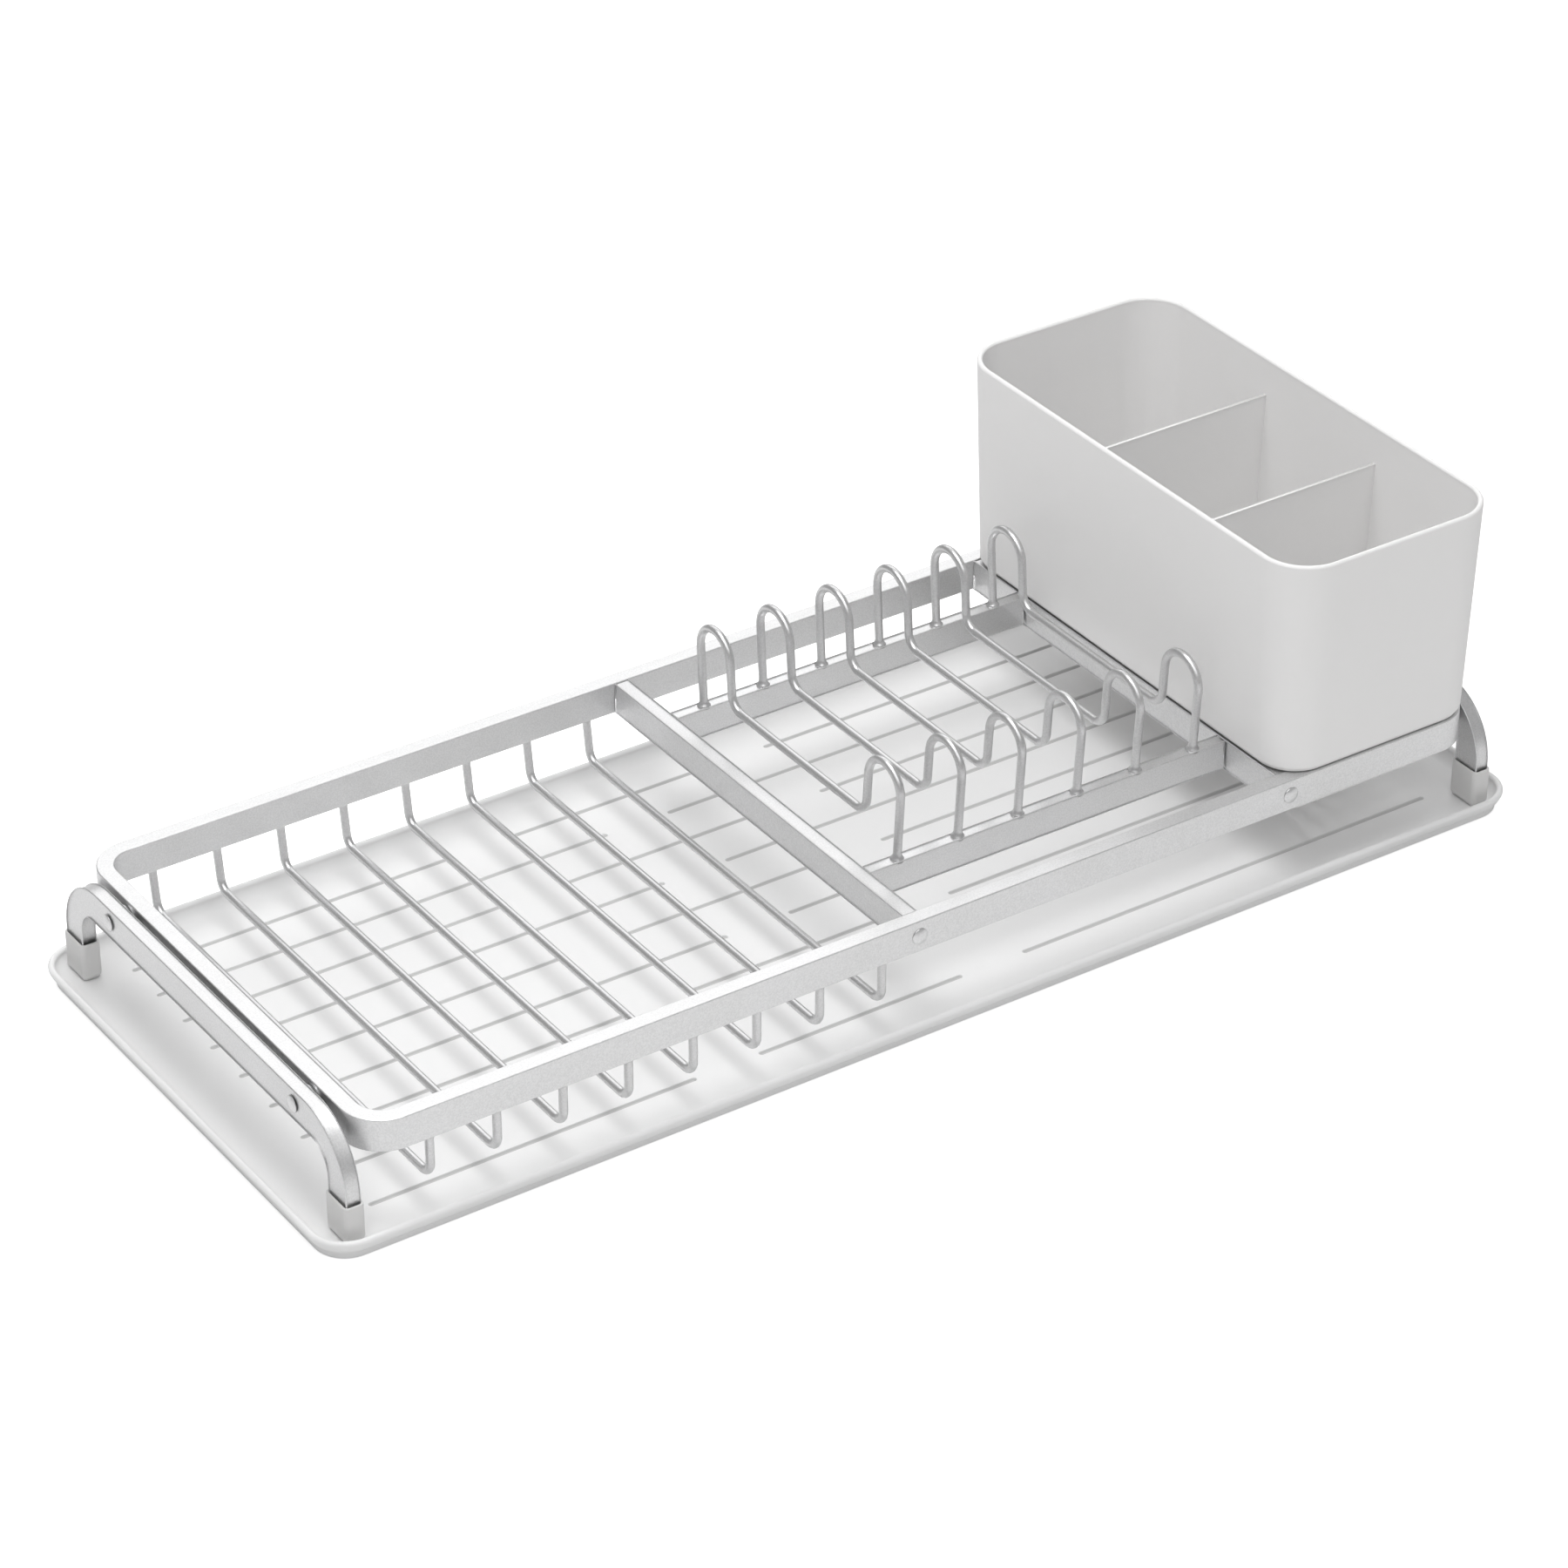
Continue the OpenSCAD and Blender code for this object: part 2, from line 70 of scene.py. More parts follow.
class Body(Enum):
    """The moving bodies of the part."""

    TRAY = "tray"
    RACK = "rack"
    CADDY = "caddy"


class Slot(Enum):
    """The material slots of the record."""

    BAR = "bar_metal"
    WIRE = "wire_metal"
    RIVET = "rivet_metal"
    FOOT = "foot_plastic"
    TRAY = "tray_plastic"
    CADDY = "caddy_plastic"


class Side(Enum):
    """Front and rear, as signs along Y."""

    FRONT = -1
    REAR = 1


class End(Enum):
    """Left and right ends, as signs along X."""

    LEFT = -1
    RIGHT = 1


class Lay(Enum):
    """The way an upright slab's outline runs."""

    ALONG_X = 0
    ALONG_Y = 1

    def place(self, run: float, up: float, level: float) -> Point:
        """Turns a place along, up and through the slab into X, Y and Z."""
        return (run, level, up) if self is Lay.ALONG_X else (level, run, up)


@dataclass(frozen=True)
class Extent:
    """The box of a CAD node, in millimetres."""

    low: Vector
    high: Vector

    @classmethod
    def of(cls, node: str) -> "Extent":
        """Measures a CAD node at rest."""
        low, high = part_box(node)
        return cls(low / MM, high / MM)

    @property
    def centre(self) -> Vector:
        """The middle of the box."""
        return (self.low + self.high) / 2

    @property
    def size(self) -> Vector:
        """The lengths of the box along the three axes."""
        return self.high - self.low

    def reach(self, corner: float) -> Pair:
        """Distances from the middle to the centres of corners of a given radius."""
        return self.size.x / 2 - corner, self.size.y / 2 - corner


def bar_thickness() -> float:
    """The thickness of the frame's bar, from the loop and the crossbar inside it."""
    return (Extent.of("frame_loop").size.y - Extent.of("middle_crossbar").size.y) / 2


def arc(centre: Pair, radius: float, start: float, stop: float, steps: int) -> list[Pair]:
    """Points along an arc in a plane.

    Args:
        centre: Centre of the arc.
        radius: Radius of the arc.
        start: First angle in degrees.
        stop: Last angle in degrees.
        steps: Number of chords.

    Returns:
        The points, both ends included.
    """
    angles = [radians(start + (stop - start) * i / steps) for i in range(steps + 1)]
    return [(centre[0] + radius * cos(a), centre[1] + radius * sin(a)) for a in angles]


def step(start: Pair, along: Pair, length: float) -> Pair:
    """The point that lies a length away from another in a direction."""
    return start[0] + along[0] * length, start[1] + along[1] * length


def straight(start: Pair, stop: Pair, steps: int) -> list[Pair]:
    """Evenly spaced points between two ends, the last left out."""
    across = (stop[0] - start[0], stop[1] - start[1])
    return [step(start, across, i / steps) for i in range(steps)]


def rounded_outline(low: Pair, high: Pair, radius: float, steps: int = 4) -> list[Pair]:
    """The outline of a rectangle with rounded corners.

    Args:
        low: Its lower left corner.
        high: Its upper right corner.
        radius: Radius of its corners.
        steps: Chords in each corner.

    Returns:
        The points, anticlockwise from the lower right.
    """
    x0, y0 = low[0] + radius, low[1] + radius
    x1, y1 = high[0] - radius, high[1] - radius
    points: list[Pair] = []
    for corner, start in (((x1, y0), -90), ((x1, y1), 0), ((x0, y1), 90), ((x0, y0), 180)):
        points += arc(corner, radius, start, start + 90, steps)
    return points


def inset_outline(outline: Sequence[Pair], amount: float) -> list[Pair]:
    """Moves an outline inward by a small amount, mitring its corners.

    Args:
        outline: The anticlockwise outline.
        amount: The distance.

    Returns:
        The moved points.
    """
    count = len(outline)
    moved: list[Pair] = []
    for i, here in enumerate(outline):
        before, after = outline[i - 1], outline[(i + 1) % count]
        a = Vector((here[0] - before[0], here[1] - before[1])).normalized()
        b = Vector((after[0] - here[0], after[1] - here[1])).normalized()
        normal_a, normal_b = Vector((-a.y, a.x)), Vector((-b.y, b.x))
        middle = (normal_a + normal_b).normalized()
        reach = amount / max(middle.dot(normal_a), 0.5)
        moved.append((here[0] + middle.x * reach, here[1] + middle.y * reach))
    return moved


@dataclass
class Draft:
    """A mesh in the making, drafted in millimetres."""

    name: str
    place: Matrix = field(default_factory=lambda: Matrix.Identity(4))
    bm: bmesh.types.BMesh = field(default_factory=bmesh.new)

    def ring(self, points: Iterable[Sequence[float]]) -> Ring:
        """Adds a row of vertices."""
        return [self.bm.verts.new(self.place @ Vector(p) * MM) for p in points]

    def face(self, verts: Sequence[bmesh.types.BMVert]) -> None:
        """Adds one face, unless it is already there or has fewer than three corners.

        Args:
            verts: Its corners.
        """
        unique = list(dict.fromkeys(verts))
        if len(unique) > 2 and self.bm.faces.get(unique) is None:
            self.bm.faces.new(unique)

    def bridge(self, first: Ring, second: Ring) -> None:
        """Joins two closed rows of equal length with four-sided faces."""
        for corners in zip(first, first[1:] + first[:1], second[1:] + second[:1], second):
            self.face(corners)

    def skin(self, rings: Sequence[Ring]) -> None:
        """Joins a series of rows, each to the next."""
        for first, second in zip(rings, rings[1:]):
            self.bridge(first, second)

    def corner_ring(self, middle: Pair, reach: Pair, radius: float, z: float, steps: int) -> Ring:
        """Adds a level rounded rectangle.

        Args:
            middle: Its centre in X and Y.
            reach: Distances from the centre to the corners' centres.
            radius: Radius of the corners.
            z: Height of the row.
            steps: Chords in each corner.

        Returns:
            The row of vertices.
        """
        points: list[Point] = []
        for sx, sy, start in ((1, -1, -90), (1, 1, 0), (-1, 1, 90), (-1, -1, 180)):
            corner = (middle[0] + sx * reach[0], middle[1] + sy * reach[1])
            points += [(x, y, z) for x, y in arc(corner, radius, start, start + 90, steps)]
        return self.ring(points)

    def caps(self, rings: Sequence[Ring]) -> None:
        """Closes the first and the last of a series of rows."""
        self.face(rings[0])
        self.face(rings[-1])

    def stack(self, middle: Pair, reach: Pair, profile: Sequence[Pair], steps: int,
              closed: bool = False) -> list[Ring]:
        """Carries a profile of (corner radius, height) round a rectangle.

        Args:
            middle: The rectangle's centre.
            reach: Distances from the centre to the corners' centres.
            profile: The points of the profile.
            steps: Chords in each corner.
            closed: Joins the last row to the first too.

        Returns:
            The rows, one for each point of the profile.
        """
        rings = [self.corner_ring(middle, reach, radius, z, steps) for radius, z in profile]
        self.skin(rings + rings[:1] if closed else rings)
        return rings

    def plate(self, edge: Ring, holes: Sequence[Ring]) -> None:
        """Fills a level face between an outer row and any number of holes.

        Args:
            edge: The outer row.
            holes: The rows round the holes.
        """
        rows = [edge, *holes]
        verts = [v for row in rows for v in row]
        spans: list[tuple[int, int]] = []
        start = 0
        for row in rows:
            spans += [(start + i, start + (i + 1) % len(row)) for i in range(len(row))]
            start += len(row)
        flat = [Vector((v.co.x, v.co.y)) for v in verts]
        _, _, faces, origins, _, _ = delaunay_2d_cdt(flat, spans, [], 0, PLATE_TOLERANCE)
        outline, *gaps = [InsideTest.of(row) for row in rows]
        for corners in faces:
            trio = [verts[origins[i][0]] for i in corners]
            middle = sum((v.co for v in trio), Vector()) / 3
            if outline.holds(middle) and not any(gap.holds(middle) for gap in gaps):
                self.face(trio)

    def slab(self, outline: Sequence[Pair], start: float, stop: float, edge: float, lay: Lay) -> None:
        """Extrudes an upright outline between two levels, with its edges rounded.

        Args:
            outline: Anticlockwise outline in the plane of the slab.
            start: First level.
            stop: Last level.
            edge: Radius of the rounded edges.
            lay: The way the outline runs.
        """
        quarter = arc((edge, edge), edge, 180, 270, 4)
        levels = [(y, start + x) for x, y in reversed(quarter)]
        levels += [(y, stop - x) for x, y in quarter]
        rings: list[Ring] = []
        for inset, level in levels:
            moved = inset_outline(outline, inset)
            rings.append(self.ring(lay.place(run, up, level) for run, up in moved))
        self.skin(rings)
        self.caps(rings)

    def tube(self, path: Sequence[Vector], radii: Sequence[float], sides: int = 20) -> None:
        """Draws round wire along a path that lies in a plane of constant X.

        Args:
            path: Points along the wire's centre.
            radii: The wire's radius at each point.
            sides: Faces round the wire.
        """
        across = Vector((1, 0, 0))
        rings: list[Ring] = []
        last = len(path) - 1
        for i, (point, radius) in enumerate(zip(path, radii)):
            ahead = (path[min(i + 1, last)] - path[max(i - 1, 0)]).normalized()
            up = ahead.cross(across).normalized()
            turns = [2 * pi * k / sides for k in range(sides)]
            rings.append(self.ring(point + (across * cos(t) + up * sin(t)) * radius
                                   for t in turns))
        self.skin(rings)
        self.caps(rings)

    def finish(self, body: Body, material: Material,
               replaced: Sequence[str]) -> bpy.types.Object:
        """Turns the draft into a piece that rides on a body in place of its CAD nodes.

        Args:
            body: The body that carries the piece.
            material: The finish.
            replaced: The CAD nodes that the piece stands for.

        Returns:
            The finished piece.
        """
        bmesh.ops.remove_doubles(self.bm, verts=self.bm.verts, dist=WELD_DISTANCE)
        bmesh.ops.dissolve_degenerate(self.bm, edges=self.bm.edges, dist=SPECK)
        bmesh.ops.recalc_face_normals(self.bm, faces=self.bm.faces)
        mesh = bpy.data.meshes.new(self.name)
        self.bm.to_mesh(mesh)
        self.bm.free()
        mesh.materials.append(material)
        mesh.shade_smooth()
        piece = bpy.data.objects.new(self.name, mesh)
        bpy.context.scene.collection.objects.link(piece)
        weighted = piece.modifiers.new("even_flats", "WEIGHTED_NORMAL")
        weighted.mode = "FACE_AREA"
        weighted.weight = 100
        weighted.keep_sharp = True
        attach(piece, body.value)
        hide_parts(*replaced)
        LOG.info("%s: %d faces, rides on %s", self.name, len(mesh.polygons), body.value)
        return piece


@dataclass(frozen=True)
class InsideTest:
    """Says whether a point lies inside a level row of vertices."""

    points: tuple[Pair, ...]
    low: Pair
    high: Pair

    @classmethod
    def of(cls, row: Ring) -> "InsideTest":
        """Makes the test.

        Args:
            row: The row of vertices.

        Returns:
            The test.
        """
        points = tuple((v.co.x, v.co.y) for v in row)
        xs, ys = [p[0] for p in points], [p[1] for p in points]
        return cls(points, (min(xs), min(ys)), (max(xs), max(ys)))

    def holds(self, point: Vector) -> bool:
        """Counts the row's crossings to one side of a point.

        Args:
            point: The point.

        Returns:
            True where the point lies inside.
        """
        if not (self.low[0] < point.x < self.high[0] and self.low[1] < point.y < self.high[1]):
            return False
        inside = False
        for (x0, y0), (x1, y1) in zip(self.points, self.points[1:] + self.points[:1]):
            if (y0 > point.y) != (y1 > point.y):
                inside ^= point.x < x0 + (x1 - x0) * (point.y - y0) / (y1 - y0)
        return inside


class Mix(Enum):
    """What is mixed, as the node's data type, its blend, its first input and its output."""

    VALUES = ("FLOAT", "MIX", 2, 0)
    COLOURS = ("RGBA", "MIX", 6, 2)
    PRODUCT = ("RGBA", "MULTIPLY", 6, 2)


class Board:
    """A node tree with short ways to add and join its nodes."""

    def __init__(self, tree: Tree) -> None:
        """Takes over a node tree."""
        self.tree = tree

    def join(self, sockets: Iterable[Socket], values: Iterable[object]) -> None:
        """Gives inputs their values, or links them to the sockets that feed them.

        Args:
            sockets: The inputs.
            values: A value or a source socket for each.
        """
        for socket, value in zip(sockets, values):
            if isinstance(value, Socket):
                self.tree.links.new(value, socket)
            else:
                socket.default_value = value

    def feed(self, node: Node, **values: object) -> None:
        """Gives a node's inputs values or sources by name, with underscores for spaces."""
        self.join([node.inputs[key.replace("_", " ")] for key in values], values.values())

    def add(self, kind: str, *inputs: object, settings: dict[str, object] | None = None,
            **values: object) -> Node:
        """Adds a node.

        Args:
            kind: The node's type.
            *inputs: Values or source sockets of its first inputs, in their order.
            settings: Values of the node's own properties.
            **values: Values or source sockets of its inputs by name.

        Returns:
            The new node.
        """
        node = self.tree.nodes.new(kind)
        for key, value in (settings or {}).items():
            setattr(node, key, value)
        self.join(node.inputs, inputs)
        self.feed(node, **values)
        return node

    def math(self, operation: str, *inputs: object) -> Socket:
        """Works out one sum."""
        return self.add("ShaderNodeMath", *inputs, settings={"operation": operation}).outputs[0]

    def span(self, value: Socket, target: Pair, source: Pair = (0.0, 1.0)) -> Socket:
        """Maps a value from one span to another."""
        return self.add("ShaderNodeMapRange", value, *source, *target).outputs[0]

    def noise(self, place: Socket, scale: object, detail: float, roughness: float) -> Socket:
        """Adds a cloudy pattern of values."""
        node = self.add("ShaderNodeTexNoise", Vector=place, Scale=scale, Detail=detail, Roughness=roughness)
        return node.outputs["Fac"]

    def mix(self, way: Mix, amount: object, first: object, second: object) -> Socket:
        """Mixes two values or two colours.

        Args:
            way: What is mixed, and how.
            amount: The share of the second, from 0 to 1.
            first: Value or source socket.
            second: Value or source socket.

        Returns:
            The result.
        """
        data, blend, entry, result = way.value
        node = self.add("ShaderNodeMix", amount, settings={"data_type": data, "blend_type": blend})
        self.join(node.inputs[entry:entry + 2], (first, second))
        return node.outputs[result]

    def group(self, tree: Tree, **values: object) -> bpy.types.NodeOutputs:
        """Places a shared effect and returns its outputs."""
        return self.add("ShaderNodeGroup", settings={"node_tree": tree}, **values).outputs

    def bump(self, strength: float, depth: float, height: Socket, **values: object) -> Socket:
        """Turns a height into a normal."""
        node = self.add("ShaderNodeBump", Strength=strength, Distance=depth, Height=height, **values)
        return node.outputs[0]


class Kind(Enum):
    """What a group's socket carries."""

    VALUE = "NodeSocketFloat"
    VECTOR = "NodeSocketVector"
    COLOUR = "NodeSocketColor"


def new_group(name: str, inputs: Sequence[tuple[str, Kind, object]],
              outputs: Sequence[tuple[str, Kind]]) -> tuple[Board, list[Socket], Node]:
    """Starts a shader node group with named sockets.

    Args:
        name: The group's name.
        inputs: Name, kind and default of each input.
        outputs: Name and kind of each output.

    Returns:
        The group's board, the sockets that bring its inputs, and its output node.
    """
    tree = bpy.data.node_groups.new(name, "ShaderNodeTree")
    for label, kind, default in inputs:
        socket = tree.interface.new_socket(label, in_out="INPUT", socket_type=kind.value)
        if default is not None:
            socket.default_value = default
    for label, kind in outputs:
        tree.interface.new_socket(label, in_out="OUTPUT", socket_type=kind.value)
    board = Board(tree)
    sources = board.add("NodeGroupInput").outputs[:len(inputs)]
    return board, sources, board.add("NodeGroupOutput")


def new_material(name: str) -> tuple[Material, Board, Node]:
    """Starts a material.

    Args:
        name: Its name.

    Returns:
        The material, its board and its shader.
    """
    material = bpy.data.materials.new(name)
    material.use_nodes = True
    board = Board(material.node_tree)
    return material, board, board.tree.nodes["Principled BSDF"]


@dataclass(frozen=True)
class Effects:
    """The surface effects that several finishes share."""

    grain: Tree
    streaks: Tree
    mottle: Tree

    @classmethod
    def build(cls) -> "Effects":
        """Builds the three groups."""
        return cls(cls.build_grain(), cls.build_streaks(), cls.build_mottle())

    @staticmethod
    def build_grain() -> Tree:
        """A fine moulded or blasted grain at two scales.

        Returns:
            The node group.
        """
        board, (place, scale, coarse), result = new_group(
            "fine_grain",
            [("Place", Kind.VECTOR, None), ("Scale", Kind.VALUE, 2500.0),
             ("Coarse", Kind.VALUE, 0.35)],
            [("Height", Kind.VALUE), ("Mask", Kind.VALUE)])
        broad_share = 0.23
        fine = board.noise(place, scale, detail=2.0, roughness=0.6)
        broad = board.noise(place, board.math("MULTIPLY", scale, broad_share), detail=3.0, roughness=0.55)
        height = board.mix(Mix.VALUES, coarse, fine, broad)
        board.feed(result, Height=height, Mask=board.span(height, (0.0, 1.0), source=(0.35, 0.65)))
        return board.tree

    @staticmethod
    def build_streaks() -> Tree:
        """Fine lines drawn along one direction.

        Returns:
            The node group.
        """
        board, inputs, result = new_group(
            "drawn_streaks",
            [("Place", Kind.VECTOR, None), ("Stretch", Kind.VECTOR, (40.0, 2500.0, 2500.0))],
            [("Height", Kind.VALUE), ("Mask", Kind.VALUE)])
        scaled = board.add("ShaderNodeVectorMath", *inputs, settings={"operation": "MULTIPLY"})
        height = board.noise(scaled.outputs[0], 1.0, detail=4.0, roughness=0.65)
        board.feed(result, Height=height, Mask=board.span(height, (0.0, 1.0), source=(0.3, 0.7)))
        return board.tree

    @staticmethod
    def build_mottle() -> Tree:
        """A faint, broad drift of a colour between two neighbours.

        Returns:
            The node group.
        """
        board, (place, scale, deep, light), result = new_group(
            "soft_mottle",
            [("Place", Kind.VECTOR, None), ("Scale", Kind.VALUE, 14.0),
             ("Deep", Kind.COLOUR, None), ("Light", Kind.COLOUR, None)],
            [("Color", Kind.COLOUR)])
        drift = board.noise(place, scale, detail=5.0, roughness=0.5)
        mask = board.span(drift, (0.0, 1.0), source=(0.3, 0.7))
        board.feed(result, Color=board.mix(Mix.COLOURS, mask, deep, light))
        return board.tree


class Along(Enum):
    """The direction in which a metal piece was drawn, as a stretch of its streaks."""

    X = (35.0, 2600.0, 2600.0)
    Y = (2600.0, 35.0, 2600.0)
    NONE = (900.0, 900.0, 900.0)


@dataclass(frozen=True)
class SatinMetal:
    """Satin anodised metal with fine drawn lines and a blasted grain."""

    name: str
    shade: float
    along: Along
    roughness: Pair = (0.34, 0.46)
    streak_depth: float = 0.00002
    grain_depth: float = 0.00006
    grain_scale: float = 1700.0
    coarse: float = 0.12
    pit_shade: Pair = (0.88, 1.0)
    cloud_scale: float = 22.0
    drift: float = 0.014
    blue_drift: float = 1.4
    metallic: float = 1.0

    def build(self, effects: Effects) -> Material:
        """Makes the material.

        Args:
            effects: The shared surface effects.

        Returns:
            The material.
        """
        material, board, shader = new_material(self.name)
        place = board.add("ShaderNodeTexCoord").outputs["Object"]
        streaks = board.group(effects.streaks, Place=place, Stretch=self.along.value)
        grain = board.group(effects.grain, Place=place, Scale=self.grain_scale, Coarse=self.coarse)
        low, high = self.shade - self.drift, self.shade + self.drift
        mottle = board.group(effects.mottle, Place=place, Scale=self.cloud_scale, Deep=(low, low, low, 1),
                             Light=(high, high, self.shade + self.drift * self.blue_drift, 1))
        level = board.span(grain["Mask"], self.pit_shade)
        pits = board.add("ShaderNodeCombineColor", level, level, level)
        lines = board.bump(0.5, self.streak_depth, streaks["Height"])
        board.feed(shader, Metallic=self.metallic,
                   Base_Color=board.mix(Mix.PRODUCT, 1.0, mottle["Color"], pits.outputs[0]),
                   Roughness=board.span(streaks["Mask"], self.roughness),
                   Normal=board.bump(0.6, self.grain_depth, grain["Height"], Normal=lines))
        return material


@dataclass(frozen=True)
class PaintedGrooveShade:
    """Painted shade that darkens the colour in the grooves sunk below a level floor."""

    floor_z: float
    depth: float
    reach: Pair
    fade: float = 0.5
    # how dark the painted groove shade is, as a share of the clean colour
    painted_shade_tone: float = 0.69
    warmth: float = 0.995

    def lay(self, board: Board, place: Socket, shade: Socket) -> Socket:
        """Paints shade into a colour below the floor's level, darkening the grooves.

        Args:
            board: The material's board.
            place: The place on the object.
            shade: The colour of the clean surface.

        Returns:
            The colour with painted shade in the grooves.
        """
        parts = board.add("ShaderNodeSeparateXYZ", place).outputs
        top = self.floor_z * MM
        mask = board.span(parts["Z"], (1.0, 0.0), source=(top - self.depth * MM, top))
        for axis, limit in zip("XY", self.reach):
            distance = board.math("ABSOLUTE", parts[axis])
            edge = ((limit - self.fade) * MM, (limit + self.fade) * MM)
            mask = board.math("MULTIPLY", mask, board.span(distance, (1.0, 0.0), source=edge))
        # painted shade: multiplies the colour down to a darker tone inside the grooves
        return board.mix(Mix.PRODUCT, mask, shade, (self.painted_shade_tone, self.painted_shade_tone, self.painted_shade_tone * self.warmth, 1))


@dataclass(frozen=True)
class MouldedPlastic:
    """Matt moulded plastic with a fine tool grain, a faint drift of shade and, where given, painted shade
    in its grooves.
    """

    name: str
    deep: Point
    light: Point
    roughness: Pair
    grain_depth: float
    grain_scale: float = 1500.0
    coarse: float = 0.5
    cloud_scale: float = 9.0
    gloss_level: float = 0.5
    painted_groove_shade: PaintedGrooveShade | None = None

    def build(self, effects: Effects) -> Material:
        """Makes the material.

        Args:
            effects: The shared surface effects.

        Returns:
            The material.
        """
        material, board, shader = new_material(self.name)
        place = board.add("ShaderNodeTexCoord").outputs["Object"]
        shade = board.group(effects.mottle, Place=place, Scale=self.cloud_scale, Deep=(*self.deep, 1),
                            Light=(*self.light, 1))["Color"]
        grain = board.group(effects.grain, Place=place, Scale=self.grain_scale, Coarse=self.coarse)
        # painted shade in the grooves, laid over the plastic's own colour
        if self.painted_groove_shade:
            shade = self.painted_groove_shade.lay(board, place, shade)
        board.feed(shader, Base_Color=shade, Roughness=board.span(grain["Mask"], self.roughness),
                   Normal=board.bump(0.5, self.grain_depth, grain["Height"]),
                   Specular_IOR_Level=self.gloss_level)
        return material


@dataclass
class DripTray:
    """The shallow moulded tray with its flared rim, foot rim and rows of drain grooves."""

    material: Material
    corner: float = 14.0
    floor_top: float = 3.0
    sheet: float = 2.0
    wall_radius: float = 4.4
    wall_angle: float = 80.0
    lip: float = 1.2
    foot_in: float = 8.5
    foot_out: float = 11.5
    groove_rows: int = 9
    groove_half: float = 0.95
    groove_depth: float = 1.0
    groove_shift: float = 5.0
    groove_margin: float = 21.0
    groove_end: float = 213.0
    groove_soft: float = 0.18
    two_gaps: tuple[Pair, ...] = ((-92.0, -65.5), (14.0, 41.0))
    one_gap: tuple[Pair, ...] = ((-38.0, -11.0),)
    lip_start: float = 12.0
    lip_behind: float = 10.0
    lip_cover: float = 6.0
    root_gap: float = 0.3
    foot_soft: float = 0.5

    def profile(self) -> list[Pair]:
        """Works out the wall's section.

        Returns:
            Its points, from the edge of the floor over the lip to the underside.
        """
        middle = self.wall_radius + self.sheet / 2
        outside = self.wall_radius + self.sheet
        turn = radians(self.wall_angle)
        start = self.corner - self.lip - middle * sin(turn)
        centre = (start, self.floor_top + self.wall_radius)
        lip = (start + middle * sin(turn), centre[1] - middle * cos(turn))
        stop = self.wall_angle - self.lip_start - 90
        points = arc(centre, self.wall_radius, -90, stop, steps=10)
        points += arc(lip, self.lip, 180 + self.lip_behind, -self.lip_start, steps=14)
        outer = arc(centre, outside, stop - self.lip_cover, -90, steps=12)
        points += [p for p in outer if p[0] > self.foot_out + self.root_gap]
        points += [(self.foot_out, centre[1] - sqrt(outside ** 2 - (self.foot_out - start) ** 2))]
        soft = self.foot_soft
        points += arc((self.foot_out - soft, soft), soft, 0, -90, steps=3)
        points += arc((self.foot_in + soft, soft), soft, -90, -180, steps=3)
        points += [(self.foot_in, self.floor_top - self.sheet)]
        return points

    def groove(self, draft: Draft, start: float, stop: float, y: float) -> Ring:
        """Sinks one round-ended channel into the floor.

        Args:
            draft: The tray's draft.
            start: Where it starts along X.
            stop: Where it stops along X.
            y: Its place along Y.

        Returns:
            Its upper edge.
        """
        half, depth, soft = self.groove_half, self.groove_depth, self.groove_soft
        section = [(half + soft - soft * sin(radians(a)),
                    self.floor_top - soft + soft * cos(radians(a))) for a in (0, 45, 90)]
        section += [(half * cos(radians(a)),
                     self.floor_top - soft - (depth - soft) * sin(radians(a)))
                    for a in (30, 55, 78)]
        middle, reach = ((start + stop) / 2, y), ((stop - start) / 2, 0.0)
        rings = draft.stack(middle, reach, section, steps=4)
        draft.face(rings[-1])
        return rings[0]

    def build(self) -> None:
        """Makes the tray."""
        box = Extent.of("drip_tray")
        draft = Draft("drip_tray_moulding")
        rings = draft.stack((0.0, 0.0), box.reach(self.corner), self.profile(), steps=14)
        draft.face(rings[-1])
        pitch = (box.size.y - 2 * self.groove_margin) / (self.groove_rows - 1)
        middle = (self.groove_rows - 1) / 2
        edges: list[Ring] = []
        for row in range(self.groove_rows):
            offset = row - middle
            y = offset * pitch + self.groove_shift * (1 - (offset / middle) ** 2)
            starts = -self.groove_end
            for stop, restart in self.one_gap if row % 2 else self.two_gaps:
                edges.append(self.groove(draft, starts, stop, y))
                starts = restart
            edges.append(self.groove(draft, starts, self.groove_end, y))
        draft.plate(rings[0], edges)
        draft.finish(Body.TRAY, self.material, ["drip_tray"])


@dataclass
class RackFrame:
    """The flat-bar loop with its crossbars and plate strips."""

    long_bar: Material
    cross_bar: Material
    corner: float = 15.0
    edge: float = 0.45

    def loop(self) -> None:
        """Makes the closed loop of bar."""
        box = Extent.of("frame_loop")
        inner = self.corner - bar_thickness()
        section = rounded_outline((inner, box.low.z), (self.corner, box.high.z), self.edge)
        draft = Draft("frame_bar_loop")
        draft.stack((0.0, 0.0), box.reach(self.corner), section, steps=16, closed=True)
        draft.finish(Body.RACK, self.long_bar, ["frame_loop"])

    def bar(self, node: str, lay: Lay, material: Material) -> None:
        """Makes one straight bar on edge in place of its CAD node.

        Args:
            node: The CAD node.
            lay: The way the bar runs.
            material: The finish.
        """
        low, high = Extent.of(node).low, Extent.of(node).high
        run, level = lay.value, 1 - lay.value
        outline = [(low[run], low.z), (high[run], low.z), (high[run], high.z), (low[run], high.z)]
        draft = Draft(f"{node}_bar")
        draft.slab(outline, low[level], high[level], self.edge, lay)
        draft.finish(Body.RACK, material, [node])

    def build(self) -> None:
        """Makes the loop and the four bars inside it."""
        self.loop()
        for node in ("middle_crossbar", "right_crossbar"):
            self.bar(node, Lay.ALONG_Y, self.cross_bar)
        for node in ("front_plate_strip", "rear_plate_strip"):
            self.bar(node, Lay.ALONG_X, self.long_bar)


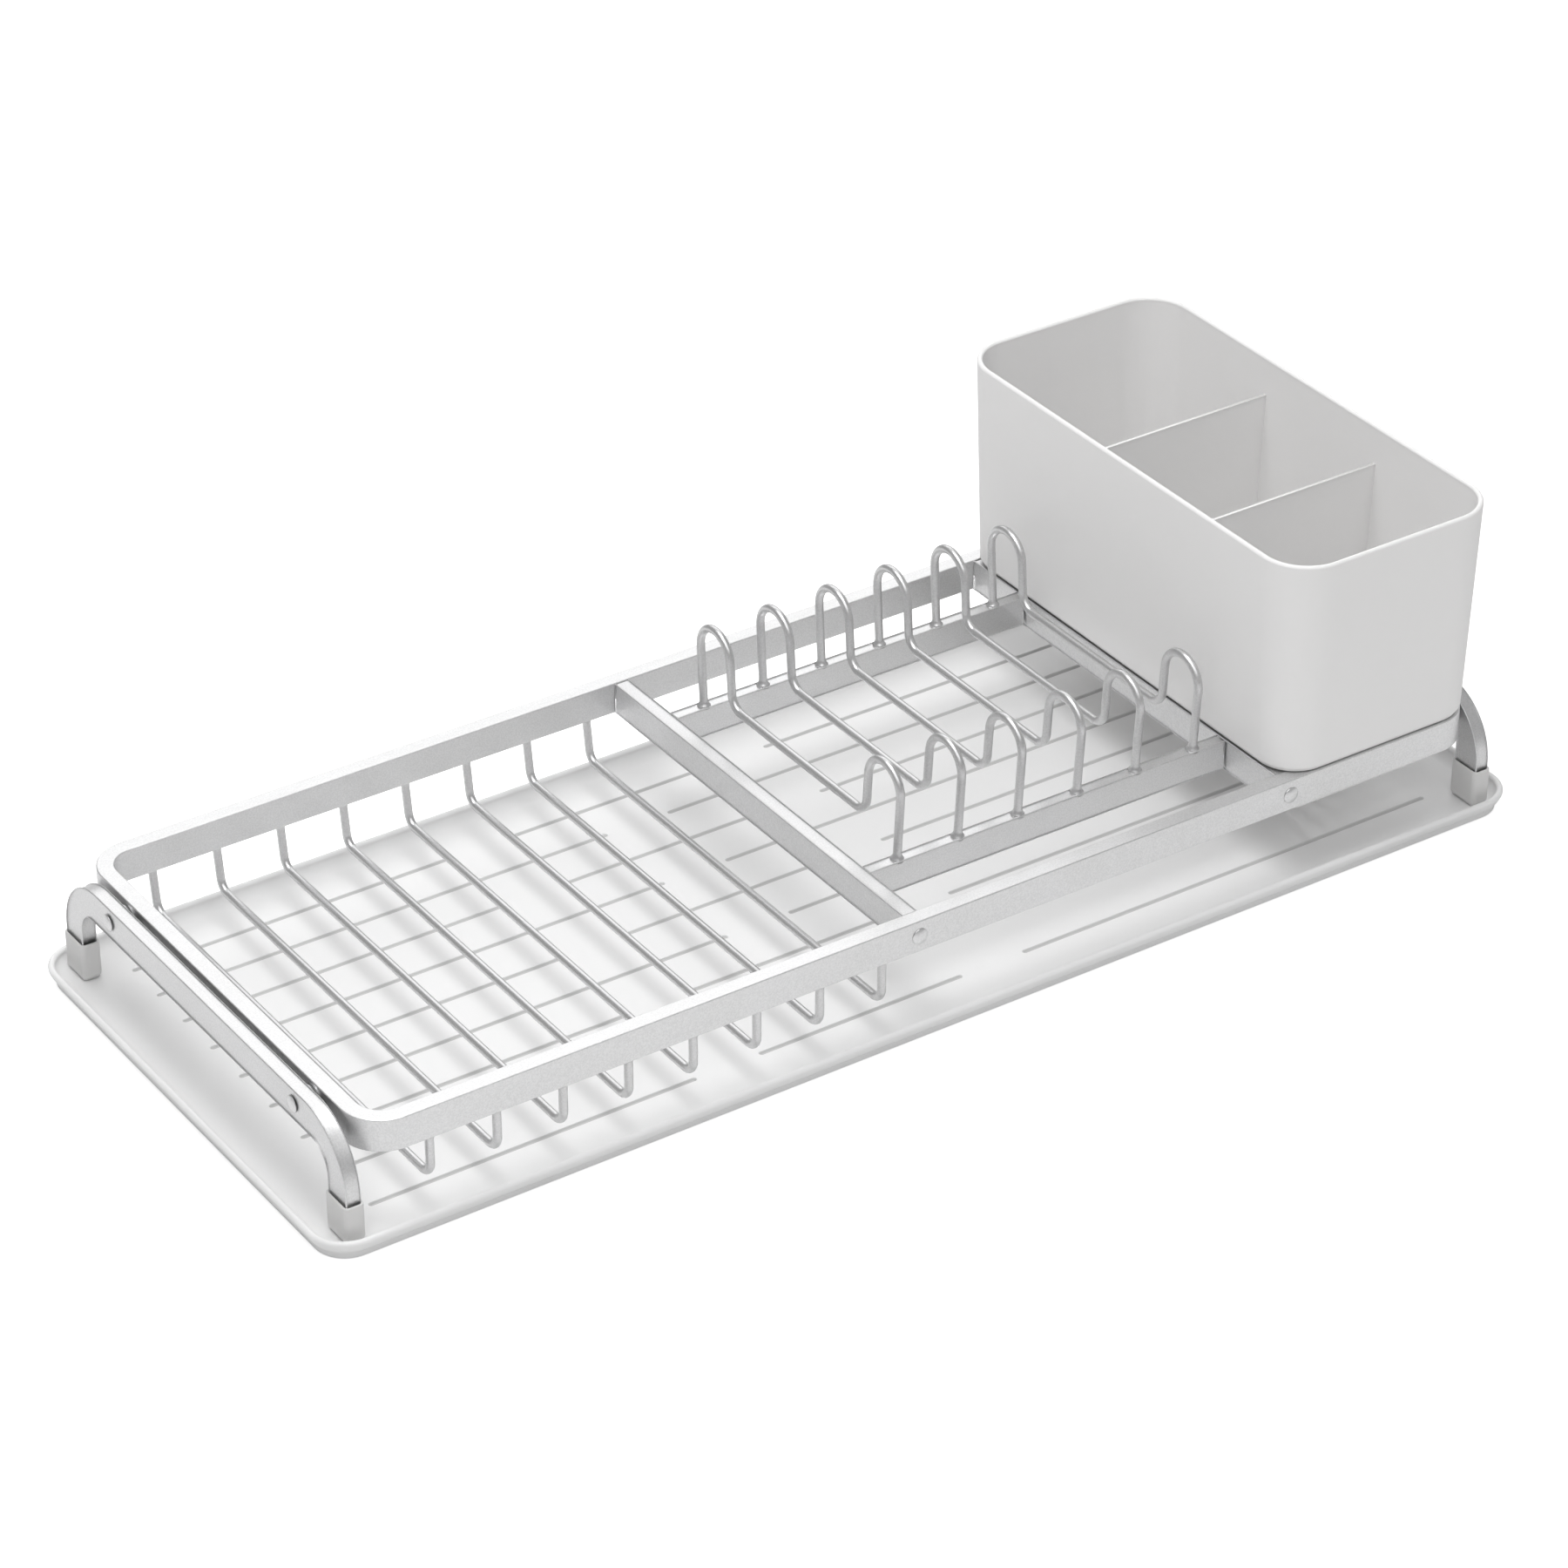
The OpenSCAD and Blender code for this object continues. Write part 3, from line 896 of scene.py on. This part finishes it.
@dataclass
class LegSet:
    """The two arched legs with their feet, spacers and rivets."""

    bar: Material
    rivet: Material
    foot: Material
    shoulder: float = 24.0
    inner: float = 9.0
    post: float = 11.5
    edge: float = 0.45
    foot_edge: float = 2.0
    foot_soft: float = 0.45
    sole: float = 0.3
    sole_step: tuple[Pair, ...] = ((0.6, 0.8), (0.15, 1.05), (0.0, 1.5))
    socket_soft: float = 0.2
    socket_gap: float = 0.15
    socket_depth: float = 6.0
    dome: float = 1.0
    head: float = 3.0
    head_rim: float = 0.22
    head_side: float = 0.132
    head_shares: tuple[float, ...] = (0.98, 0.92, 0.82, 0.68, 0.5, 0.3, 0.12)
    bore_share: float = 0.4

    def leg_outline(self, box: Extent, underside: float) -> list[Pair]:
        """Works out a leg's outline in Y and Z.

        Args:
            box: The leg's box.
            underside: Height of the arch's underside.

        Returns:
            Its points, anticlockwise from the foot of the rear post.
        """
        half, top, bottom = box.size.y / 2, box.high.z, box.low.z
        inside = half - self.post
        points = [(inside, bottom), (half, bottom)]
        points += arc((half - self.shoulder, top - self.shoulder), self.shoulder, 0, 90, 20)
        points += arc((self.shoulder - half, top - self.shoulder), self.shoulder, 90, 180, 20)
        points += [(-half, bottom), (-inside, bottom)]
        points += arc((self.inner - inside, underside - self.inner), self.inner, 180, 90, 12)
        points += arc((inside - self.inner, underside - self.inner), self.inner, 90, 0, 12)
        return points

    def make_leg(self, end: End) -> None:
        """Makes one leg.

        Args:
            end: The leg's end of the rack.
        """
        node = f"{end.name.lower()}_leg"
        box = Extent.of(node)
        outline = self.leg_outline(box, Extent.of("frame_loop").low.z)
        draft = Draft(f"{node}_arch")
        draft.slab(outline, box.low.x, box.high.x, self.edge, Lay.ALONG_Y)
        draft.finish(Body.RACK, self.bar, [node])

    def make_foot(self, end: End, side: Side) -> None:
        """Makes one foot with a soft sole, rounded edges and its socket.

        Args:
            end: The foot's end of the rack.
            side: Front or rear.
        """
        node = f"{side.name.lower()}_{end.name.lower()}_foot"
        box = Extent.of(node)
        leg = Extent.of(f"{end.name.lower()}_leg")
        side_out, soft, sole, lip = self.foot_edge, self.foot_soft, self.sole, self.socket_soft
        low, top = box.low.z, box.high.z
        rim = side_out - (box.size.x - leg.size.x) / 2 + self.socket_gap
        profile = arc((side_out - 3 * sole, low + sole), sole, -90, 0, steps=3)
        profile += [(side_out - inset, low + height) for inset, height in self.sole_step]
        profile += arc((side_out - soft, top - soft), soft, 0, 90, steps=4)
        profile += arc((rim + lip, top - lip), lip, 90, 180, steps=3)
        profile += [(rim, top - self.socket_depth)]
        draft = Draft(f"{node}_shoe")
        draft.caps(draft.stack((box.centre.x, box.centre.y), box.reach(side_out), profile, steps=6))
        draft.finish(Body.RACK, self.foot, [node])

    def head_profile(self) -> list[Pair]:
        """Works out a rivet head's profile.

        Returns:
            Its (radius, height) points, from rim to crown.
        """
        rise = self.dome - self.head_rim
        radius = (self.head ** 2 + rise ** 2) / (2 * rise)
        profile = [(self.head, 0.0), (self.head, self.head_side)]
        for share in self.head_shares:
            reach = self.head * share
            profile.append((reach, self.dome - radius + sqrt(radius ** 2 - reach ** 2)))
        return profile

    def add_head(self, draft: Draft, place: Matrix) -> None:
        """Adds one domed rivet head."""
        draft.place = place
        draft.caps(draft.stack((0.0, 0.0), (0.0, 0.0), self.head_profile(), steps=8))

    def make_leg_rivets(self) -> None:
        """Makes the rivet heads on the legs, and the spacers behind them."""
        loop, rivets = Extent.of("frame_loop"), Extent.of("leg_rivets")
        radius = Extent.of("leg_spacers").size.z / 2
        bore = self.bore_share * radius
        heads = Draft("leg_rivet_heads")
        spacers = Draft("leg_spacer_rings")
        for end in End:
            leg = Extent.of(f"{end.name.lower()}_leg")
            face = leg.high.x if end is End.RIGHT else leg.low.x
            gap = abs(face) - leg.size.x - loop.high.x
            profile = [(bore, 0.0), (radius, 0.0), (radius, gap), (bore, gap)]
            turn = Matrix.Rotation(end.value * pi / 2, 4, "Y")
            for side in Side:
                y = side.value * (rivets.size.y / 2 - self.head)
                self.add_head(heads, Matrix.Translation((face, y, rivets.centre.z)) @ turn)
                seat = Matrix.Translation((end.value * loop.high.x, y, rivets.centre.z))
                spacers.place = seat @ turn
                spacers.stack((0.0, 0.0), (0.0, 0.0), profile, steps=8, closed=True)
        heads.finish(Body.RACK, self.rivet, ["leg_rivets"])
        spacers.finish(Body.RACK, self.rivet, ["leg_spacers"])

    def make_bar_rivets(self) -> None:
        """Makes the rivet heads on the long rails, at the ends of the crossbars."""
        loop, rivets = Extent.of("frame_loop"), Extent.of("crossbar_rivets")
        heads = Draft("crossbar_rivet_heads")
        for node in ("middle_crossbar", "right_crossbar"):
            x = Extent.of(node).centre.x
            for side in Side:
                turn = Matrix.Rotation(-side.value * pi / 2, 4, "X")
                seat = Matrix.Translation((x, side.value * loop.high.y, rivets.centre.z))
                self.add_head(heads, seat @ turn)
        heads.finish(Body.RACK, self.rivet, ["crossbar_rivets"])

    def build(self) -> None:
        """Makes all the pieces of the two legs."""
        for end in End:
            self.make_leg(end)
            for side in Side:
                self.make_foot(end, side)
        self.make_leg_rivets()
        self.make_bar_rivets()


@dataclass
class WireWork:
    """What the plate wires and the bowl wires have in common."""

    material: Material
    radius: float = 1.5
    weld: float = 0.9
    weld_length: float = 2.2
    weld_curve: float = 2.4
    sunk: float = 1.0

    def flare(self, distance: float) -> float:
        """The wire's radius at a distance from its welded end."""
        share = max(0.0, 1 - max(distance, 0.0) / self.weld_length)
        return self.radius + self.weld * share ** self.weld_curve

    def lay(self, name: str, node: str, x: float, path: Sequence[Pair]) -> None:
        """Draws one wire along its path in Y and Z, flared at both ends.

        Args:
            name: Name of the piece.
            node: The CAD node that it stands for.
            x: The wire's place along X.
            path: Its centre line from end to end, each end sunk into its bar.
        """
        points = [Vector((x, y, z)) for y, z in path]
        lengths = [0.0]
        for a, b in zip(points, points[1:]):
            lengths.append(lengths[-1] + (b - a).length)
        total = lengths[-1]
        radii = [self.flare(min(s, total - s) - self.sunk) for s in lengths]
        draft = Draft(name)
        draft.tube(points, radii)
        draft.finish(Body.RACK, self.material, [node])

    def foot(self, root: Pair, lean: float) -> list[Pair]:
        """Close-set points along a welded end, from inside the bar outward.

        Args:
            root: Where the wire leaves the bar.
            lean: The wire's direction in degrees, from the Y axis.

        Returns:
            The points.
        """
        along = (cos(radians(lean)), sin(radians(lean)))
        reaches = (-self.sunk, 0.0, 0.3, 0.7, 1.2, 1.7, self.weld_length)
        return [step(root, along, reach) for reach in reaches]


@dataclass
class PlateWires(WireWork):
    """The six wires with a hoop at each end, welded to the two plate strips."""

    count: int = 6
    loop: float = 9.3
    bend: float = 6.0
    lean: float = 4.0
    run: float = 8.0
    rise: float = 33.4

    def half(self, strip_y: float, top: float) -> list[Pair]:
        """Works out the centre line of the rear half.

        Args:
            strip_y: The strip's place along Y.
            top: Height of the strip's upper edge.

        Returns:
            Its points, from the strip to the start of the low run.
        """
        turn = radians(self.lean)
        up = (sin(turn), cos(turn))
        inward = (-cos(turn), sin(turn))
        climb = (self.rise - self.loop * (1 + up[0])) / up[1]
        drop = climb - (self.run + self.bend * (1 - up[0]) - 2 * self.loop * up[0]) / up[1]
        shoulder = step((strip_y, top), up, climb)
        inner = step(shoulder, inward, 2 * self.loop)
        low = step(inner, up, -drop)
        points = self.foot((strip_y, top), 90 - self.lean)
        points += straight(points.pop(), shoulder, steps=5)
        points += arc(step(shoulder, inward, self.loop), self.loop, -self.lean, 180 - self.lean, steps=28)
        points += straight(inner, low, steps=3)[1:]
        points += arc(step(low, inward, self.bend), self.bend, -self.lean, -90, steps=16)
        return points

    def build(self) -> None:
        """Makes the wires."""
        strip = Extent.of("rear_plate_strip")
        rear = self.half(strip.centre.y, strip.high.z)
        front = [(-y, z) for y, z in reversed(rear)]
        middle = straight(rear[-1], front[0], steps=12)[1:]
        for i in range(1, self.count + 1):
            node = f"plate_wire_{i}"
            self.lay(f"plate_hoop_wire_{i}", node, Extent.of(node).centre.x, rear + middle + front)


@dataclass
class BowlWires(WireWork):
    """The eight shallow wires hung under the long rails."""

    count: int = 8
    bend: float = 5.0
    lean: float = 8.0
    run: float = 15.5

    def path(self, end_y: float, underside: float) -> list[Pair]:
        """Works out the centre line.

        Args:
            end_y: Where the ends stand along Y.
            underside: Height of the rails' lower edge.

        Returns:
            Its points, from the rear rail to the front rail.
        """
        turn = radians(self.lean)
        drop = (underside - self.run - self.bend * (1 - sin(turn))) / cos(turn)
        points = self.foot((end_y, underside), 270 - self.lean)
        low = step((end_y, underside), (-sin(turn), -cos(turn)), drop)
        points += straight(points.pop(), low, steps=4)
        centre = step(low, (-cos(turn), sin(turn)), self.bend)
        points += arc(centre, self.bend, -self.lean, -90, steps=14)
        curve = arc((-end_y + self.bend, self.run + self.bend), self.bend, -90, -180, steps=14)
        points += straight(points[-1], curve[0], steps=16)[1:]
        points += curve
        riser = self.foot((-end_y, underside), -90)[::-1]
        points += straight(curve[-1], riser[0], steps=4)[1:]
        return points + riser

    def build(self) -> None:
        """Makes the wires."""
        loop = Extent.of("frame_loop")
        path = self.path(loop.high.y - bar_thickness() / 2, loop.low.z)
        for i in range(1, self.count + 1):
            node = f"bowl_wire_{i}"
            self.lay(f"bowl_rest_wire_{i}", node, Extent.of(node).centre.x, path)


@dataclass
class CutleryCaddy:
    """The divided box with its rim, shadow gap, well and drain holes."""

    material: Material
    corner: float = 15.0
    draft_out: float = 2.6
    wall: float = 2.0
    rim: float = 1.0
    seam_inset: float = 0.9
    seam: float = 1.2
    seam_soft: float = 0.2
    outer_soft: float = 0.5
    rest_gap: float = 0.3
    well_gap: float = 1.0
    well_draft: float = 0.8
    well_taper: float = 0.02
    rim_tail: float = 1.9
    ledge_fillet: float = 1.6
    ledge_soft: float = 1.0
    well_fillet: float = 1.2
    divider: float = 1.5
    divider_drop: float = 14.0
    divider_edge: float = 0.25
    hole: float = 2.5
    pitch: float = 8.0
    columns: int = 7
    rows: int = 6
    field_y: float = 55.2

    def profile(self, low: float, foot: float, top: float) -> list[Pair]:
        """Works out the wall's section.

        Args:
            low: Height of the well's underside.
            foot: Height of the face that rests on the rails.
            top: Height of the rim.

        Returns:
            Its points, from the underside over the rim to the floor's upper face.
        """
        base, crease, soft, wall = foot + self.seam, self.seam_soft, self.outer_soft, self.wall
        out = self.corner + self.draft_out
        well = self.corner - bar_thickness() - self.well_gap
        neck = self.corner - self.seam_inset
        points = arc((well - self.well_draft - 2 * soft, low + 2 * soft), 2 * soft, -90, 0, steps=5)
        points += [(well - self.well_taper, foot - soft)]
        points += arc((well + soft, foot - soft), soft, 180, 90, steps=3)
        points += arc((neck - crease, foot + crease), crease, -90, 0, steps=2)
        points += [(neck, base - crease / 2), (neck + crease / 2, base)]
        points += arc((self.corner - soft, base + soft), soft, -90, 0, steps=5)
        points += arc((out - self.rim, top - self.rim), self.rim, 0, 200, steps=14)
        points += [(out - wall, top - self.rim_tail)]
        fillet, round_over, hollow = self.ledge_fillet, self.ledge_soft, self.well_fillet
        points += arc((self.corner - wall - fillet, base + wall + fillet), fillet, 0, -90, steps=6)
        points += arc((well - wall + round_over, base + wall - round_over), round_over, 90, 180, steps=5)
        inner = well - wall - self.well_draft
        points += arc((inner - hollow, low + wall + hollow), hollow, 0, -90, steps=5)
        return points

    def dividers(self, draft: Draft, middle: float, half: float, low: float, base: float,
                 top: float) -> None:
        """Adds the two upright dividers, their edges buried in the walls and floor.

        Args:
            draft: The caddy's draft.
            middle: The caddy's middle along X.
            half: Half its length along X at its foot.
            low: Height of the well's underside.
            base: Height of the ledge's underside.
            top: Height of the rim.
        """
        bite = self.wall / 2
        crest = top - self.divider_drop
        share = (crest - base) / (top - base)
        wide = half + self.draft_out * share - bite
        ledge = half - bite
        well = ledge - bar_thickness() - self.well_gap
        outline = [(bite - well, low + bite), (well - bite, low + bite), (well, base + bite),
                   (ledge, base + bite), (wide, crest), (-wide, crest), (-ledge, base + bite),
                   (-well, base + bite)]
        spacing = (Extent.of("frame_loop").size.y - 2 * self.wall) / 6
        for side in Side:
            y = side.value * spacing
            draft.slab([(middle + run, up) for run, up in outline], y - self.divider / 2,
                       y + self.divider / 2, self.divider_edge, Lay.ALONG_X)

    def holes(self, draft: Draft, middle: float, low: float) -> tuple[list[Ring], list[Ring]]:
        """Adds the walls of the drain holes.

        Args:
            draft: The caddy's draft.
            middle: The caddy's middle along X.
            low: Height of the floor's underside.

        Returns:
            Their upper and their lower edges.
        """
        upper: list[Ring] = []
        lower: list[Ring] = []
        for bank in (-1, 0, 1):
            for row in range(self.rows):
                for column in range(self.columns):
                    centre = (middle + (column - (self.columns - 1) / 2) * self.pitch,
                              bank * self.field_y + (row - (self.rows - 1) / 2) * self.pitch)
                    section = [(self.hole, low), (self.hole, low + self.wall)]
                    rings = draft.stack(centre, (0.0, 0.0), section, steps=4)
                    lower.append(rings[0])
                    upper.append(rings[1])
        return upper, lower

    def build(self) -> None:
        """Makes the caddy."""
        box = Extent.of("cutlery_caddy")
        loop = Extent.of("frame_loop")
        middle = box.centre.x
        foot = loop.high.z + self.rest_gap
        half = box.size.x / 2 - self.draft_out
        reach = (half - self.corner, loop.size.y / 2 - self.corner)
        draft = Draft("cutlery_caddy_moulding")
        rings = draft.stack((middle, 0.0), reach, self.profile(box.low.z, foot, box.high.z), steps=14)
        upper, lower = self.holes(draft, middle, box.low.z)
        draft.plate(rings[0], lower)
        draft.plate(rings[-1], upper)
        self.dividers(draft, middle, half, box.low.z, foot + self.seam, box.high.z)
        draft.finish(Body.CADDY, self.material, ["cutlery_caddy"])


class PanelShape(Enum):
    """The outline of a light panel."""

    OBLONG = "RECTANGLE"
    ROUND = "DISK"


@dataclass(frozen=True)
class Panel:
    """A soft light panel that faces the object, with its glow as seen from there."""

    name: str
    place: Point
    width: float
    height: float
    glow: float
    shape: PanelShape = PanelShape.OBLONG

    def hang(self) -> None:
        """Adds the panel's light."""
        light = bpy.data.lights.new(self.name, "AREA")
        light.shape = self.shape.value
        light.size, light.size_y = self.width, self.height
        filled = pi / 4 if self.shape is PanelShape.ROUND else 1.0
        light.energy = self.glow * pi * self.width * self.height * filled
        lamp = bpy.data.objects.new(self.name, light)
        lamp.location = self.place
        lamp.rotation_euler = Vector(self.place).to_track_quat("Z", "Y").to_euler()
        bpy.context.scene.collection.objects.link(lamp)


@dataclass
class Studio:
    """The pale floor, the soft lights and the camera."""

    azimuth: float = -33.885
    elevation: float = 32.344
    distance: float = 1.836
    aim: Point = (0.0019, 0.0088, 0.0375)
    lens: float = 123.6
    floor_size: float = 12.0
    floor_shade: float = 0.84
    floor_lift: float = 0.55
    sky: float = 0.42
    panels: tuple[Panel, ...] = (
        Panel("overhead_softbox", (-0.17, 0.0, 1.02), 0.56, 0.56, 4.7, PanelShape.ROUND),
        Panel("overhead_veil", (-0.22, 0.02, 1.36), 1.3, 1.3, 1.15, PanelShape.ROUND),
        Panel("rear_softbox", (1.1, 1.7, 1.5), 2.4, 1.6, 1.15),
        Panel("front_softbox", (-0.5, -1.5, 1.8), 2.4, 1.3, 1.1))

    def floor(self) -> None:
        """Lays the floor, which the camera sees a little brighter than the pieces do."""
        half = self.floor_size / 2
        corners = [(-half, -half, 0), (half, -half, 0), (half, half, 0), (-half, half, 0)]
        mesh = bpy.data.meshes.new("studio_floor")
        mesh.from_pydata(corners, [], [(0, 1, 2, 3)])
        material, board, shader = new_material("studio_floor_white")
        board.feed(shader, Base_Color=(*(self.floor_shade,) * 3, 1), Roughness=0.9, Specular_IOR_Level=0.1)
        lift = board.add("ShaderNodeEmission", Strength=self.floor_lift).outputs[0]
        seen = board.add("ShaderNodeLightPath").outputs["Is Camera Ray"]
        total = board.add("ShaderNodeAddShader", shader.outputs[0], lift).outputs[0]
        blend = board.add("ShaderNodeMixShader", seen, shader.outputs[0], total).outputs[0]
        board.feed(board.tree.nodes["Material Output"], Surface=blend)
        mesh.materials.append(material)
        floor = bpy.data.objects.new("studio_floor", mesh)
        bpy.context.scene.collection.objects.link(floor)

    def light(self) -> None:
        """Sets the even sky, which the camera sees as white, and hangs the panels."""
        world = bpy.data.worlds.new("studio_sky")
        world.use_nodes = True
        board = Board(world.node_tree)
        seen = board.add("ShaderNodeLightPath").outputs["Is Camera Ray"]
        board.feed(board.tree.nodes["Background"], Color=(1, 1, 1, 1),
                   Strength=board.span(seen, (self.sky, 1.0)))
        bpy.context.scene.world = world
        for panel in self.panels:
            panel.hang()

    def camera(self) -> None:
        """Places the camera."""
        round_z, up = radians(self.azimuth), radians(self.elevation)
        level = cos(up)
        back = Vector((sin(round_z) * level, -cos(round_z) * level, sin(up)))
        data = bpy.data.cameras.new("studio_camera")
        data.lens = self.lens
        data.sensor_width = 36.0
        data.clip_start, data.clip_end = 0.05, 60.0
        camera = bpy.data.objects.new("studio_camera", data)
        camera.location = Vector(self.aim) + back * self.distance
        camera.rotation_mode = "QUATERNION"
        camera.rotation_quaternion = (-back).to_track_quat("-Z", "Y")
        bpy.context.scene.collection.objects.link(camera)
        bpy.context.scene.camera = camera

    def build(self) -> None:
        """Sets up the whole studio."""
        bpy.context.scene.view_settings.view_transform = "Standard"
        self.floor()
        self.light()
        self.camera()


def write_sizes() -> None:
    bpy.context.view_layer.update()


def main() -> None:
    """Builds the rack piece by piece, then the studio round it."""
    logging.basicConfig(level=logging.INFO, format="%(name)s: %(message)s")
    effects = Effects.build()
    long_bar = SatinMetal("satin_bar_lengthwise", 0.78, Along.X).build(effects)
    cross_bar = SatinMetal("satin_bar_crosswise", 0.77, Along.Y).build(effects)
    wire = SatinMetal("satin_wire", 0.70, Along.NONE, roughness=(0.30, 0.38)).build(effects)
    rivet = SatinMetal("satin_rivet", 0.78, Along.NONE, roughness=(0.28, 0.36)).build(effects)
    # painted shade that darkens the tray's grooves, in place of the shade their depth alone gives
    painted_groove_shade = PaintedGrooveShade(floor_z=3.0, depth=0.7, reach=(218.0, 83.0))
    tray = MouldedPlastic("tray_plastic_matt", (0.80, 0.80, 0.80), (0.83, 0.83, 0.83),
                          (0.42, 0.52), 0.00003, painted_groove_shade=painted_groove_shade).build(effects)
    caddy = MouldedPlastic("caddy_plastic_matt", (0.828, 0.823, 0.82), (0.852, 0.847, 0.843),
                           (0.46, 0.56), 0.00004).build(effects)
    foot = MouldedPlastic("foot_plastic_matt", (0.675, 0.672, 0.667), (0.705, 0.702, 0.697),
                          (0.5, 0.62), 0.00004).build(effects)
    DripTray(tray).build()
    RackFrame(long_bar, cross_bar).build()
    LegSet(cross_bar, rivet, foot).build()
    PlateWires(wire).build()
    BowlWires(wire).build()
    CutleryCaddy(caddy).build()
    Studio().build()
    write_sizes()


if __name__ == "__main__":
    main()
